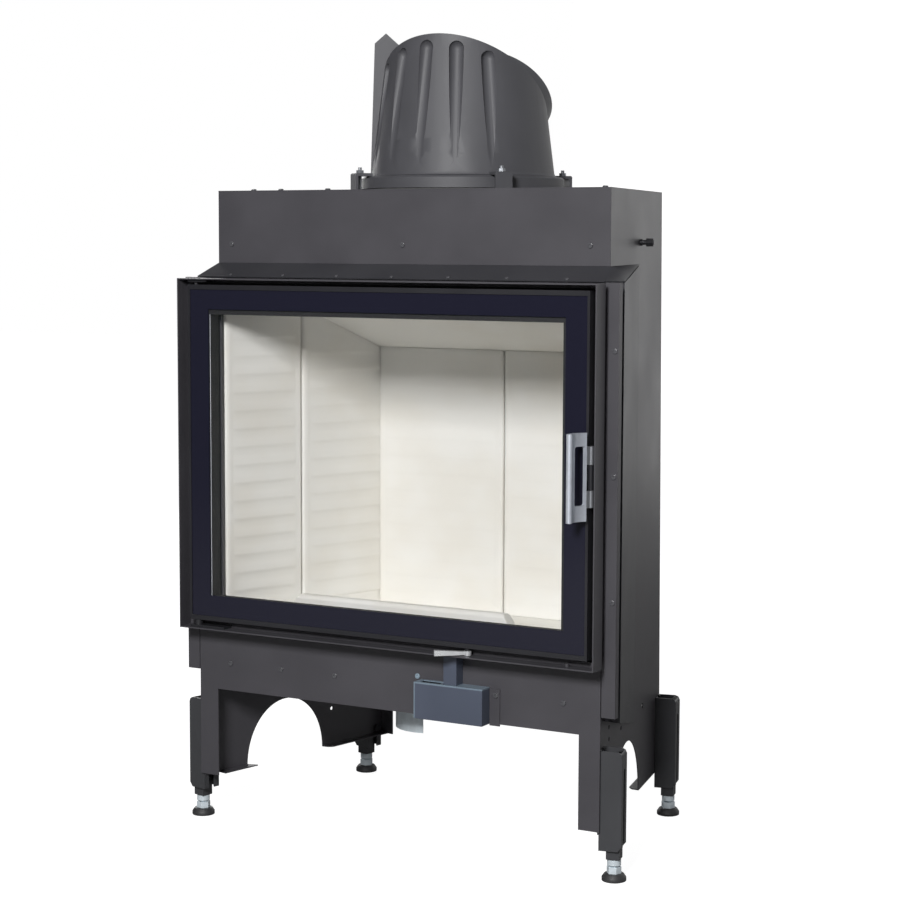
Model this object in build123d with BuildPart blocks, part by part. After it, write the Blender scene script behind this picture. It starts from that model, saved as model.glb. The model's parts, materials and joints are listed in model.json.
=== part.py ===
from build123d import *
import math
import os

os.makedirs("parts", exist_ok=True)

# A fireplace insert: a tapered steel firebox with a pale refractory lining, in a
# sheet-metal casing on four adjustable legs, with a glazed door, a rotating cast
# iron flue dome on top and the combustion-air controls below the door.
# Millimetres, +Z up. The origin is on the floor, in the middle of the footprint.
# "Depth" is the distance behind the front edge of the door surround.

# ---------------------------------------------------------------- driving dimensions
SHEET = 2.0                     # casing sheet
PLATE = 4.0                     # firebox plate

# door surround
SURROUND_HALF = 390.0
SURROUND_BOTTOM = 342.4
SURROUND_TOP = 935.7
SURROUND_DEPTH = 31.0
LEDGE_HALF = 381.5              # the narrower sleeve behind the ledge
LEDGE_BOTTOM = 350.0
LEDGE_TOP = 930.0
BUTTON_X = 338.0                # small button on the surround's lower flange
BUTTON_DEPTH = 15.0

# casing
FACE_DEPTH = 46.0               # front face of the base panel, the rails and the firebox
CASING_HALF = 378.0             # half width of the casing where its sides begin
CASING_START = 48.0
CASING_TAPER = 0.21             # the sides draw in towards the back
CASING_BACK = 460.0
SIDE_START = 50.6
SIDE_BOTTOM = 75.0
SIDE_TAIL = 490.0               # the rear edge slopes back to here at its foot
TOE_FLANGE = 19.0               # inward flange along the side sheet's foot
TAIL_TOP = 209.0
UPPER_DEPTH = 91.6              # front of the upper box
UPPER_BOTTOM = 961.0
CASING_TOP = 1083.0
ROOF_EDGE_HALF = 381.0
ROOF_EDGE_HEIGHT = 939.0
ARCH_DEPTH = 241.5
ARCH_HALF = 92.5
ARCH_RISE = 105.0

# side jackets, the wedges that stand out behind the rails
JACKET_HALF = 400.0
JACKET_FRONT = 78.0
JACKET_REAR = 295.0
JACKET_TOP_FRONT = 936.0
JACKET_TOP_REAR = 960.5
JACKET_BOTTOM_FRONT = 250.0
JACKET_BOTTOM_REAR = 200.0

# rails beside the surround
RAIL_INNER = 382.5              # a narrow gap is left beside the base sheet
RAIL_OUTER = 406.0
RAIL_BOTTOM = 263.0
RAIL_TOP = 937.0
RAIL_RETURN = 10.0
RAIL_SCREW_X = 399.5
RAIL_SCREW_HEIGHTS = (445.0, 640.0, 833.0)

# base panel
BASE_HALF = 381.0
BASE_BOTTOM = 80.0
BASE_TOP = 340.0
PORTAL_HALF = 344.3
PORTAL_TOP = 231.8
BASE_SCREW_HEIGHT = 279.0
BASE_SCREW_X = (-317.0, -214.0, -107.0, 317.0)
PAD_LEFT = 186.6                # raised pad beside the air control box
PAD_RIGHT = 205.0
PAD_SCREW_X = 198.0
UPPER_SCREW_HEIGHT = 993.0
UPPER_SCREW_X = (-341.4, -3.8, 334.2)
TOP_SCREW_X = (-299.5, -244.7, -151.3, 356.6)
STUD_DEPTH = 300.0              # the stud on the right of the upper box
STUD_HEIGHT = 998.0

# firebox
MOUTH_HALF = 332.6
MOUTH_BOTTOM = 385.0
MOUTH_TOP = 897.0
BOX_FRONT = 50.0
LINING_TAPER = 0.303
LINING = 30.0
LINING_JOINT = 218.0
LINING_EASED = 4.0              # bevel of the slabs along their joints
HEARTH_HEIGHT = 341.0
LINING_BACK = 390.0
BACK_JOINT_X = 25.0
BAFFLE_BACK_HEIGHT = 810.0      # underside where it meets the back lining
BAFFLE_SLOPE = 0.43
BAFFLE_FRONT = 150.0
LINING_CAP = 926.0
STOP_HEIGHT = 405.0
STOP_TOP_HALF = 195.0
STOP_FOOT_HALF = 238.0
STOP_DEPTH = 70.0
STOP_THICK = 24.0

# flue dome
DOME_DEPTH = 286.0
DOME_FLANGE_R = 172.0
DOME_SEAT = 1086.0
DOME_FLANGE_TOP = 1106.0
DOME_BASE_R = 156.0
DOME_TOP_R = 125.0
DOME_TOP = 1351.0               # where the cone reaches its top radius
RIM_HEIGHT = 1337.0             # front of the sloping rim
RIM_SLOPE = 33.9
RIM_TURN = 8.3                  # the rim's highest point lies right of the front
DOME_WALL = 10.0
NECK_OUTER_R = 97.0
NECK_OFFSET = 50.0              # the neck's axis starts behind the cone's axis
NECK_LENGTH = 113.0
PIPE_R = 90.5                   # socket for a 180 mm flue pipe
PIPE_DEPTH = 50.0
NECK_BORE_R = 86.0
FLUTE_ANGLES = (-44.0, -21.5, 1.0, 24.0)
FLUTE_BOTTOM = 1130.0
FLUTE_R = 12.5
FLUTE_DEEP = 11.0               # at the top; each flute runs out to a point below
FLUTE_BELOW_RIM = 9.0
FLUTE_WALL = 17.0               # the casting is thicker behind the flutes' tops
RIB_ANGLE = -60.0
RIB_WIDTH = 24.0
CLAMP_TURN = 49.0
CLAMP_CIRCLE_R = 183.0
CLAMP_WIDTH = 29.0
CLAMP_STRAP = 5.0               # the clamp is bent from thick strap
CLAMP_STUD_R = 3.0
CLAMP_NUT_R = 6.5

# door
DOOR_HALF = 374.7
DOOR_BOTTOM = 356.9
DOOR_TOP = 925.1
DOOR_FRONT = 8.8
DOOR_BACK = 40.0
DOOR_SIDE_WALL = 3.0
DOOR_END_WALL = 5.0
RIM_SIDE = 4.5                  # visible width of the metal rim round the glass
RIM_END = 8.0
GLASS = 4.0
WINDOW_HALF = 336.0
WINDOW_BOTTOM = 397.0
WINDOW_TOP = 887.0
GASKET_INNER = 340.0
GASKET_WIDTH = 10.0
GASKET_BOTTOM = 367.0
GASKET_TOP = 912.0
HINGE_X = -360.0
HINGE_DEPTH = 14.0
HINGE_PIN_R = 4.0
PIN_CLEARANCE = 0.05

# door handle and its latch
PIVOT_X = 379.5
PIVOT_DEPTH = 8.0
PIVOT_PIN_R = 2.5
KNUCKLE_R = 4.2
HANDLE_BOTTOM = 575.0
HANDLE_TOP = 710.5
HANDLE_WINDOW_BOTTOM = 599.0
HANDLE_WINDOW_TOP = 690.0
HANDLE_WINDOW_START = 13.0      # along the handle, from the middle of the grip
HANDLE_WINDOW_END = 33.5
GRIP_X = 364.0
GRIP_DEPTH = -35.0
GRIP_R = 5.0
HANDLE_REAR_X = 374.5
HANDLE_REAR_DEPTH = -1.0
HANDLE_REAR_HALF = 2.3          # half thickness of the plate at its rear edge
SLEEVES = ((595.5, 621.5), (661.5, 689.5))
HOOK_HEIGHTS = (608.0, 675.0)

# combustion air
LEVER_X = 162.0
LEVER_DEPTH = 16.0
LEVER_LENGTH = 54.0
LEVER_ANGLE = -142.0
AIR_BOX_LEFT = 60.0
AIR_BOX_RIGHT = 186.0
AIR_BOX_BOTTOM = 231.0
AIR_BOX_TOP = 291.0
AIR_BOX_DEPTH = 20.0
NECK_LEFT = 113.0
NECK_RIGHT = 137.0
NECK_DEPTH = 24.0
COLLAR_DEPTH = 185.0
COLLAR_R = 62.5                 # 125 mm air pipe
COLLAR_WALL = 1.5
COLLAR_BOTTOM = 180.0
COLLAR_NOTCH_TOP = 215.0
LIP_R = 61.5                    # the notched lip is drawn in
DAMPER_HEIGHT = 243.0
DAMPER_SHAFT_R = 3.0
DAMPER_TILT = 36.0              # from closed, with the lever where it stands

# legs
LEG_RUNS = (19.5, 433.8)        # places of the legs along the casing's side
LEG_OUT = 37.0
LEG_HALF = 17.5
LEG_SHEET = 2.5
LEG_BOTTOM = 50.0
LEG_TOP = 209.0
LEG_SLOT_BOTTOM = 60.0
LEG_SLOT_TOP = 180.0
LEG_LIP_GAP = 6.0               # half the gap between the channel's lips
LEG_BOLT_R = 4.0
LEG_BOLT_HEIGHT = 86.0
FOOT_OUT = 22.0
SOCKET = 22.0
SOCKET_BOTTOM = 35.0
SOCKET_TOP = 76.0
SPINDLE_R = 5.0
SPINDLE_TOP = 74.0
DISC_R = 19.5
DISC_HEIGHT = 12.0

SCREW_HEAD_R = 4.5
SCREW_HEAD = 2.5
SCREW_SHANK_R = 2.0
SCREW_HOLE_R = 2.25

# ---------------------------------------------------------------- worked-out values
TAPER_ANGLE = math.atan(CASING_TAPER)
SIN_TAPER = math.sin(TAPER_ANGLE)
COS_TAPER = math.cos(TAPER_ANGLE)
REAR_REACH = CASING_START + (LEG_RUNS[1] + LEG_HALF) * COS_TAPER + LEG_OUT * SIN_TAPER
FRONT_REACH = GRIP_DEPTH - GRIP_R
FRAME_FRONT = -(FRONT_REACH + REAR_REACH) / 2      # y of the surround's front edge
LINING_ANGLE = math.atan(LINING_TAPER)
LINING_BEHIND = LINING / math.cos(LINING_ANGLE)    # lining thickness across the taper
PLATE_BEHIND = PLATE / math.cos(LINING_ANGLE)
BOX_BACK = LINING_BACK + LINING + PLATE
BOX_BOTTOM = HEARTH_HEIGHT - LINING - PLATE
PLATE_TOP = CASING_TOP - SHEET
TOP_SCREW_DEPTH = UPPER_DEPTH + 5.5
DOME_Y = FRAME_FRONT + DOME_DEPTH


def face_on(depth):
    """A plane that faces the front: x to the right, y up."""
    return Plane((0, FRAME_FRONT + depth, 0), x_dir=(1, 0, 0), z_dir=(0, -1, 0))


def floor_at(height):
    """A level plane: x to the right, y is the depth."""
    return Plane((0, FRAME_FRONT, height), x_dir=(1, 0, 0), z_dir=(0, 0, 1))


def side_on(x):
    """A plane seen from the right: x is the depth, y up."""
    return Plane((x, FRAME_FRONT, 0), x_dir=(0, 1, 0), z_dir=(1, 0, 0))


def along_side(run, height):
    """A level plane on the casing's right side: x outwards, y back along the side."""
    origin = (CASING_HALF - run * SIN_TAPER, FRAME_FRONT + CASING_START + run * COS_TAPER, height)
    return Plane(origin, x_dir=(COS_TAPER, SIN_TAPER, 0), z_dir=(0, 0, 1))


SIDE_FACE = Plane((CASING_HALF, FRAME_FRONT + CASING_START, 0),
                  x_dir=(-SIN_TAPER, COS_TAPER, 0), z_dir=(COS_TAPER, SIN_TAPER, 0))


def run_at(depth):
    """Distance along the casing's side at a depth."""
    return (depth - CASING_START) / COS_TAPER


def casing_half(depth):
    """Half width of the casing at a depth."""
    return CASING_HALF - CASING_TAPER * (depth - CASING_START)


def hot_half(depth):
    """Half width between the side linings at a depth."""
    return MOUTH_HALF - LINING_TAPER * (depth - CASING_START)


def baffle_under(depth):
    """Height of the baffle's underside at a depth."""
    return BAFFLE_BACK_HEIGHT + BAFFLE_SLOPE * (LINING_BACK - depth)


def outline(points, mode=Mode.ADD):
    """A face with straight sides in the sketch that is open."""
    Polygon(*points, align=None, mode=mode)


def oblong(left, right, bottom, top, mode=Mode.ADD):
    """A rectangle by its sides in the sketch that is open."""
    outline([(left, bottom), (right, bottom), (right, top), (left, top)], mode)


def keep(piece, name):
    """Labels a finished piece and writes it."""
    piece.part.label = name
    export_step(piece.part, f"parts/{name}.step")


def keep_pair(piece, name):
    """Writes the right-hand piece and its mirror image on the left."""
    keep(piece, name + "_right")
    with BuildPart() as twin:
        mirror(piece.part, about=Plane.YZ)
    keep(twin, name + "_left")


# ---------------------------------------------------------------- casing
# Side sheet: tall and tapered, with an arch at the foot, a rear edge that slopes
# back to the rear leg, an inward flange below and a return at the tail.
with BuildPart() as side_panel:
    with BuildSketch(SIDE_FACE):
        outline([(run_at(SIDE_START), SIDE_BOTTOM),
                 (run_at(SIDE_START), RAIL_TOP),
                 (run_at(UPPER_DEPTH + SHEET) + 0.6, UPPER_BOTTOM - 4),
                 (run_at(UPPER_DEPTH + SHEET) + 0.6, PLATE_TOP),
                 (run_at(CASING_BACK), PLATE_TOP),
                 (run_at(SIDE_TAIL), TAIL_TOP),
                 (run_at(SIDE_TAIL), SIDE_BOTTOM)])
        with Locations((run_at(ARCH_DEPTH), SIDE_BOTTOM)):
            Ellipse(ARCH_HALF / COS_TAPER, ARCH_RISE, mode=Mode.SUBTRACT)
        with Locations(*[(run, LEG_BOLT_HEIGHT) for run in LEG_RUNS]):
            Circle(LEG_BOLT_R + 0.5, mode=Mode.SUBTRACT)
    extrude(amount=-SHEET)
    with BuildSketch(along_side(0, SIDE_BOTTOM)):
        toe_front = run_at(ARCH_DEPTH - ARCH_HALF)
        toe_rear = run_at(ARCH_DEPTH + ARCH_HALF)
        outline([(-SHEET, run_at(82)), (-TOE_FLANGE, run_at(82)), (-TOE_FLANGE, toe_front + 9),
                 (-SHEET, toe_front)])
        outline([(-SHEET, toe_rear), (-TOE_FLANGE + 6, toe_rear + 3), (-TOE_FLANGE, toe_rear + 12),
                 (-TOE_FLANGE, run_at(SIDE_TAIL)), (-SHEET, run_at(SIDE_TAIL))])
    extrude(amount=SHEET)
    with BuildSketch(along_side(run_at(SIDE_TAIL), SIDE_BOTTOM)):
        oblong(-30, -SHEET, -SHEET, 0)
    extrude(amount=TAIL_TOP - SIDE_BOTTOM)

# The right sheet has small fixing holes beside the front leg, the left one has a
# single hole ahead of the rear leg.
with BuildPart() as right_panel:
    add(side_panel.part)
    with BuildSketch(SIDE_FACE):
        with Locations((run_at(115), 232.7), (run_at(198.5), 212.5), (run_at(116), 213)):
            Circle(4)
        with Locations((run_at(356), 216.5)):
            Circle(5)
    extrude(amount=-SHEET, mode=Mode.SUBTRACT)
keep(right_panel, "side_panel_right")

with BuildPart() as left_panel:
    add(side_panel.part)
    with BuildSketch(SIDE_FACE):
        with Locations((run_at(357), 142.6)):
            Circle(3.5)
    extrude(amount=-SHEET, mode=Mode.SUBTRACT)
left_panel.part = mirror(left_panel.part, about=Plane.YZ)
keep(left_panel, "side_panel_left")

# Back sheet between the side sheets, flanged forwards at its top and bottom.
BACK_HALF = casing_half(CASING_BACK) - SHEET / COS_TAPER - 0.5
with BuildPart() as back_panel:
    with BuildSketch(face_on(CASING_BACK - SHEET)):
        oblong(-BACK_HALF, BACK_HALF, TAIL_TOP, PLATE_TOP)
    extrude(amount=-SHEET)
    with BuildSketch(face_on(CASING_BACK - SHEET)):
        oblong(-BACK_HALF, BACK_HALF, TAIL_TOP, TAIL_TOP + SHEET)
        oblong(-BACK_HALF, BACK_HALF, PLATE_TOP - SHEET, PLATE_TOP)
    extrude(amount=14)
keep(back_panel, "back_panel")

# Top sheet with the round opening under the flue dome.
with BuildPart() as top_plate:
    with BuildSketch(floor_at(PLATE_TOP)):
        outline([(-casing_half(UPPER_DEPTH), UPPER_DEPTH), (casing_half(UPPER_DEPTH), UPPER_DEPTH),
                 (casing_half(CASING_BACK), CASING_BACK), (-casing_half(CASING_BACK), CASING_BACK)])
        with Locations((0, DOME_DEPTH)):
            Circle(150, mode=Mode.SUBTRACT)
            with PolarLocations(CLAMP_CIRCLE_R, 4, CLAMP_TURN):
                Circle(CLAMP_STUD_R + 0.3, mode=Mode.SUBTRACT)
        with Locations(*[(x, TOP_SCREW_DEPTH) for x in TOP_SCREW_X]):
            Circle(SCREW_HOLE_R, mode=Mode.SUBTRACT)
    extrude(amount=SHEET)
keep(top_plate, "top_plate")

# Front sheet of the upper box.
with BuildPart() as upper_front:
    with BuildSketch(face_on(UPPER_DEPTH)):
        oblong(-casing_half(UPPER_DEPTH), casing_half(UPPER_DEPTH), UPPER_BOTTOM, PLATE_TOP)
        with Locations(*[(x, UPPER_SCREW_HEIGHT) for x in UPPER_SCREW_X]):
            Circle(SCREW_HOLE_R, mode=Mode.SUBTRACT)
    extrude(amount=-SHEET)
keep(upper_front, "upper_front_panel")


# Sloping strip from the upper box down to the surround, with a mitred wing over
# each side jacket.
def spot(x, depth, height):
    """A point by its depth behind the surround's front edge."""
    return Vector(x, FRAME_FRONT + depth, height)


with BuildPart() as roof_wing:
    inner_low = spot(ROOF_EDGE_HALF, FACE_DEPTH, ROOF_EDGE_HEIGHT)
    inner_high = spot(casing_half(UPPER_DEPTH), UPPER_DEPTH, UPPER_BOTTOM)
    outer_low = spot(JACKET_HALF + 1, JACKET_FRONT - 1, JACKET_TOP_FRONT + 2.5)
    outer_rear = spot(casing_half(JACKET_REAR), JACKET_REAR, JACKET_TOP_REAR + 2.5)
    extrude(Face(Wire.make_polygon([inner_low, outer_low, inner_high])), amount=-SHEET)
    extrude(Face(Wire.make_polygon([inner_high, outer_low, outer_rear])), amount=-SHEET)
    split(bisect_by=SIDE_FACE, keep=Keep.TOP)

with BuildPart() as roof_strip:
    corner_low = spot(ROOF_EDGE_HALF, FACE_DEPTH, ROOF_EDGE_HEIGHT)
    corner_high = spot(casing_half(UPPER_DEPTH), UPPER_DEPTH, UPPER_BOTTOM)
    left_low = Vector(-corner_low.X, corner_low.Y, corner_low.Z)
    left_high = Vector(-corner_high.X, corner_high.Y, corner_high.Z)
    extrude(Face(Wire.make_polygon([left_low, corner_low, corner_high, left_high])), amount=-SHEET)
    add(roof_wing.part)
    mirror(roof_wing.part, about=Plane.YZ)
keep(roof_strip, "roof_strip")

# Rail beside the surround: a front strip with a return along each edge.
with BuildPart() as corner_rail:
    with BuildSketch(floor_at(RAIL_BOTTOM)):
        oblong(RAIL_INNER, RAIL_OUTER, FACE_DEPTH, FACE_DEPTH + SHEET)
        oblong(RAIL_OUTER - SHEET, RAIL_OUTER, FACE_DEPTH, FACE_DEPTH + SHEET + RAIL_RETURN)
        oblong(RAIL_INNER, RAIL_INNER + SHEET, FACE_DEPTH, FACE_DEPTH + SHEET + RAIL_RETURN)
    extrude(amount=RAIL_TOP - RAIL_BOTTOM)
    with BuildSketch(face_on(FACE_DEPTH)):
        with Locations(*[(RAIL_SCREW_X, height) for height in RAIL_SCREW_HEIGHTS]):
            Circle(SCREW_HOLE_R)
    extrude(amount=-SHEET, mode=Mode.SUBTRACT)
keep_pair(corner_rail, "corner_rail")

# Side jacket: a three-cornered duct of sheet against the casing's side, with a
# sloping top and bottom edge.
with BuildPart() as side_jacket:
    with BuildSketch(floor_at(JACKET_BOTTOM_REAR)):
        outline([(casing_half(JACKET_FRONT), JACKET_FRONT), (JACKET_HALF, JACKET_FRONT),
                 (casing_half(JACKET_REAR), JACKET_REAR)])
        offset(amount=-SHEET, kind=Kind.INTERSECTION, mode=Mode.SUBTRACT)
    extrude(amount=JACKET_TOP_REAR - JACKET_BOTTOM_REAR)
    with BuildSketch(side_on(JACKET_HALF - 90)):
        outline([(JACKET_FRONT, JACKET_BOTTOM_FRONT), (JACKET_REAR, JACKET_BOTTOM_REAR),
                 (JACKET_REAR, JACKET_TOP_REAR), (JACKET_FRONT, JACKET_TOP_FRONT)])
    extrude(amount=100, mode=Mode.INTERSECT)
keep_pair(side_jacket, "side_jacket")

# Base sheet below the door, with a portal between its two narrow legs and a raised
# pad beside the air control box.
with BuildPart() as base_front:
    with BuildSketch(face_on(FACE_DEPTH)):
        oblong(-BASE_HALF, BASE_HALF, BASE_BOTTOM, BASE_TOP)
        oblong(-PORTAL_HALF, PORTAL_HALF, BASE_BOTTOM, PORTAL_TOP, mode=Mode.SUBTRACT)
        with Locations(*[(x, BASE_SCREW_HEIGHT) for x in BASE_SCREW_X]):
            Circle(SCREW_HOLE_R, mode=Mode.SUBTRACT)
    extrude(amount=-SHEET)
    with BuildSketch(face_on(FACE_DEPTH)):
        oblong(PAD_LEFT, PAD_RIGHT, AIR_BOX_BOTTOM - 2, AIR_BOX_TOP - 2)
    extrude(amount=SHEET)
    with BuildSketch(face_on(FACE_DEPTH - SHEET)):
        with Locations((PAD_SCREW_X, BASE_SCREW_HEIGHT)):
            Circle(SCREW_HOLE_R)
    extrude(amount=-2 * SHEET, mode=Mode.SUBTRACT)
keep(base_front, "base_front_panel")

# Surround of the door: a sheet sleeve, a ledge behind the door's edge and a
# narrower sleeve back to the firebox. A small button stands on its lower flange.
with BuildPart() as surround:
    with BuildSketch(face_on(0)):
        oblong(-SURROUND_HALF, SURROUND_HALF, SURROUND_BOTTOM, SURROUND_TOP)
        offset(amount=-SHEET, mode=Mode.SUBTRACT, kind=Kind.INTERSECTION)
    extrude(amount=-SURROUND_DEPTH)
    with BuildSketch(face_on(SURROUND_DEPTH - SHEET)):
        oblong(-SURROUND_HALF, SURROUND_HALF, SURROUND_BOTTOM, SURROUND_TOP)
        oblong(-LEDGE_HALF + SHEET, LEDGE_HALF - SHEET, LEDGE_BOTTOM + SHEET, LEDGE_TOP - SHEET,
               mode=Mode.SUBTRACT)
    extrude(amount=-SHEET)
    with BuildSketch(face_on(SURROUND_DEPTH)):
        oblong(-LEDGE_HALF, LEDGE_HALF, LEDGE_BOTTOM, LEDGE_TOP)
        offset(amount=-SHEET, mode=Mode.SUBTRACT, kind=Kind.INTERSECTION)
    extrude(amount=-(FACE_DEPTH - SURROUND_DEPTH))
    with BuildSketch(floor_at(SURROUND_BOTTOM + SHEET)):
        with Locations((BUTTON_X, BUTTON_DEPTH)):
            Circle(3)
    extrude(amount=5)
keep(surround, "outer_frame")


# ---------------------------------------------------------------- firebox
def firebox_form(inset):
    """The tapered form of the firebox, drawn in all round by an inset."""
    with BuildPart() as form:
        with BuildSketch(side_on(0)):
            outline([(BOX_FRONT, BOX_BOTTOM), (BOX_BACK, BOX_BOTTOM), (BOX_BACK, PLATE_TOP),
                     (UPPER_DEPTH + 6, PLATE_TOP), (UPPER_DEPTH + 6, UPPER_BOTTOM - 6),
                     (BOX_FRONT + 2, ROOF_EDGE_HEIGHT - 5), (BOX_FRONT, ROOF_EDGE_HEIGHT - 5)])
            if inset > 0:
                offset(amount=-inset, kind=Kind.INTERSECTION, mode=Mode.REPLACE)
        extrude(amount=SURROUND_HALF, both=True)
        with BuildSketch(floor_at(BOX_BOTTOM)):
            behind = LINING_BEHIND + PLATE_BEHIND
            front = hot_half(BOX_FRONT) + behind
            back = hot_half(BOX_BACK) + behind
            outline([(-front, BOX_FRONT), (front, BOX_FRONT), (back, BOX_BACK), (-back, BOX_BACK)])
            if inset > 0:
                offset(amount=-inset, kind=Kind.INTERSECTION, mode=Mode.REPLACE)
        extrude(amount=PLATE_TOP - BOX_BOTTOM, mode=Mode.INTERSECT)
    return form.part


# Welded firebox: tapered plate walls, a front plate with the mouth that the door
# closes, the flue opening in its top and the air opening in its floor.
with BuildPart() as firebox:
    add(firebox_form(0))
    with BuildSketch(face_on(FACE_DEPTH)):
        oblong(-BASE_HALF, BASE_HALF, HEARTH_HEIGHT, ROOF_EDGE_HEIGHT - 3)
    extrude(amount=-PLATE)
    add(firebox_form(PLATE), mode=Mode.SUBTRACT)
    with BuildSketch(face_on(FACE_DEPTH)):
        oblong(-MOUTH_HALF, MOUTH_HALF, MOUTH_BOTTOM, MOUTH_TOP)
    extrude(amount=-2 * PLATE, mode=Mode.SUBTRACT)
    with BuildSketch(floor_at(PLATE_TOP - PLATE)):
        with Locations((0, DOME_DEPTH)):
            Circle(130)
    extrude(amount=PLATE, mode=Mode.SUBTRACT)
    with BuildSketch(floor_at(BOX_BOTTOM)):
        with Locations((0, COLLAR_DEPTH)):
            Circle(COLLAR_R - COLLAR_WALL)
    extrude(amount=PLATE, mode=Mode.SUBTRACT)
keep(firebox, "firebox_shell")

LINING_START = BOX_FRONT + PLATE + 0.2
LINING_END = LINING_BACK + LINING - 0.2


def side_lining(start, end, bevelled_rear):
    """A refractory slab of the right-hand wall between two depths, bevelled along
    its front edge and, if asked, along its rear edge."""
    rear_corner = [(hot_half(end), end)]
    if bevelled_rear:
        rear_corner = [(hot_half(end) + LINING_EASED, end),
                       (hot_half(end - LINING_EASED), end - LINING_EASED)]
    with BuildPart() as slab:
        with BuildSketch(side_on(150)):
            if baffle_under(start) > LINING_CAP:
                level = LINING_BACK - (LINING_CAP - BAFFLE_BACK_HEIGHT) / BAFFLE_SLOPE
                outline([(start, HEARTH_HEIGHT), (end, HEARTH_HEIGHT), (end, baffle_under(end)),
                         (level, LINING_CAP), (start, LINING_CAP)])
            else:
                outline([(start, HEARTH_HEIGHT), (end, HEARTH_HEIGHT), (end, baffle_under(end)),
                         (start, baffle_under(start))])
        extrude(amount=250)
        with BuildSketch(floor_at(HEARTH_HEIGHT)):
            outline([(hot_half(start) + LINING_EASED, start),
                     (hot_half(start) + LINING_BEHIND - 0.2, start),
                     (hot_half(end) + LINING_BEHIND - 0.2, end), *rear_corner,
                     (hot_half(start + LINING_EASED), start + LINING_EASED)])
        extrude(amount=LINING_CAP - HEARTH_HEIGHT, mode=Mode.INTERSECT)
    return slab


keep_pair(side_lining(LINING_START, LINING_JOINT - 0.3, True), "front_side_lining")
keep_pair(side_lining(LINING_JOINT + 0.3, LINING_END, False), "rear_side_lining")

# Back lining in two slabs with a joint to the right of the middle.
for name, low, high in (("back_lining_left", -1.0, BACK_JOINT_X - 0.3),
                        ("back_lining_right", BACK_JOINT_X + 0.3, 1.0)):
    near = hot_half(LINING_BACK) - 0.3
    far = hot_half(LINING_END) - 0.3
    left_near, left_far = (-near, -far) if low == -1.0 else (low, low)
    right_near, right_far = (near, far) if high == 1.0 else (high, high)
    with BuildPart() as back_lining:
        with BuildSketch(side_on(-250)):
            outline([(LINING_BACK, HEARTH_HEIGHT), (LINING_END, HEARTH_HEIGHT),
                     (LINING_END, baffle_under(LINING_END)), (LINING_BACK, BAFFLE_BACK_HEIGHT)])
        extrude(amount=500)
        with BuildSketch(floor_at(HEARTH_HEIGHT)):
            outline([(left_near, LINING_BACK), (right_near, LINING_BACK),
                     (right_far, LINING_END), (left_far, LINING_END)])
        extrude(amount=BAFFLE_BACK_HEIGHT - HEARTH_HEIGHT, mode=Mode.INTERSECT)
        joint_edge = back_lining.faces().sort_by(Axis.Y)[0].edges().filter_by(Axis.Z)
        chamfer(joint_edge.sort_by(lambda edge: abs(edge.center().X - BACK_JOINT_X))[0], length=LINING_EASED)
    keep(back_lining, name)


def box_plan(start, end, gap):
    """Plan of a slab that fills the firebox between two depths."""
    front = hot_half(start) + LINING_BEHIND - gap
    back = hot_half(end) + LINING_BEHIND - gap
    outline([(-front, start), (front, start), (back, end), (-back, end)])


# Hearth slab on the firebox floor.
with BuildPart() as hearth:
    with BuildSketch(floor_at(HEARTH_HEIGHT - LINING)):
        box_plan(LINING_START, LINING_END, 0.5)
    extrude(amount=LINING)
keep(hearth, "hearth_slab")

# Log stop: a sloping-ended bar that stands on the hearth behind the door.
with BuildPart() as log_stop:
    with BuildSketch(face_on(STOP_DEPTH)):
        outline([(-STOP_FOOT_HALF, HEARTH_HEIGHT), (STOP_FOOT_HALF, HEARTH_HEIGHT),
                 (STOP_TOP_HALF, STOP_HEIGHT), (-STOP_TOP_HALF, STOP_HEIGHT)])
    extrude(amount=-STOP_THICK)
    upper_edges = log_stop.edges().filter_by(Axis.X).group_by(Axis.Z)[-1]
    chamfer(upper_edges, length=5)
keep(log_stop, "log_stop")

# Baffle: a sloping slab on top of the linings, which leaves a throat at the front.
BAFFLE_RISE = LINING / math.cos(math.atan(BAFFLE_SLOPE))
with BuildPart() as baffle:
    with BuildSketch(side_on(0)):
        outline([(BAFFLE_FRONT, baffle_under(BAFFLE_FRONT)),
                 (LINING_END, baffle_under(LINING_END)),
                 (LINING_END, baffle_under(LINING_END) + BAFFLE_RISE),
                 (BAFFLE_FRONT, baffle_under(BAFFLE_FRONT) + BAFFLE_RISE)])
    extrude(amount=SURROUND_HALF, both=True)
    with BuildSketch(floor_at(HEARTH_HEIGHT)):
        box_plan(BAFFLE_FRONT, LINING_END, 1.0)
    extrude(amount=PLATE_TOP - HEARTH_HEIGHT, mode=Mode.INTERSECT)
keep(baffle, "baffle")

# ---------------------------------------------------------------- flue dome
# The dome is a cast cone with a sloping rim, closed by a sloping cover from which
# the round neck rises at 45 degrees. It has four tapering flutes round its front and
# one box rib, and turns on its base flange.
UP_BACK = (0, math.sqrt(0.5), math.sqrt(0.5))
NECK_ROOT = (0, DOME_Y + NECK_OFFSET, DOME_TOP - DOME_TOP_R - NECK_OFFSET)
RIM_TILT = math.radians(RIM_SLOPE)
CONE_LEAN = (DOME_BASE_R - DOME_TOP_R) / (DOME_TOP - DOME_FLANGE_TOP)


def dome_radius(height):
    """Outer radius of the cone at a height."""
    return DOME_BASE_R - CONE_LEAN * (height - DOME_FLANGE_TOP)


def around(radius, angle, height):
    """A point by its distance from the dome's axis and its angle from the front."""
    turn = math.radians(angle)
    return Vector(radius * math.sin(turn), DOME_Y - radius * math.cos(turn), height)


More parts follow.
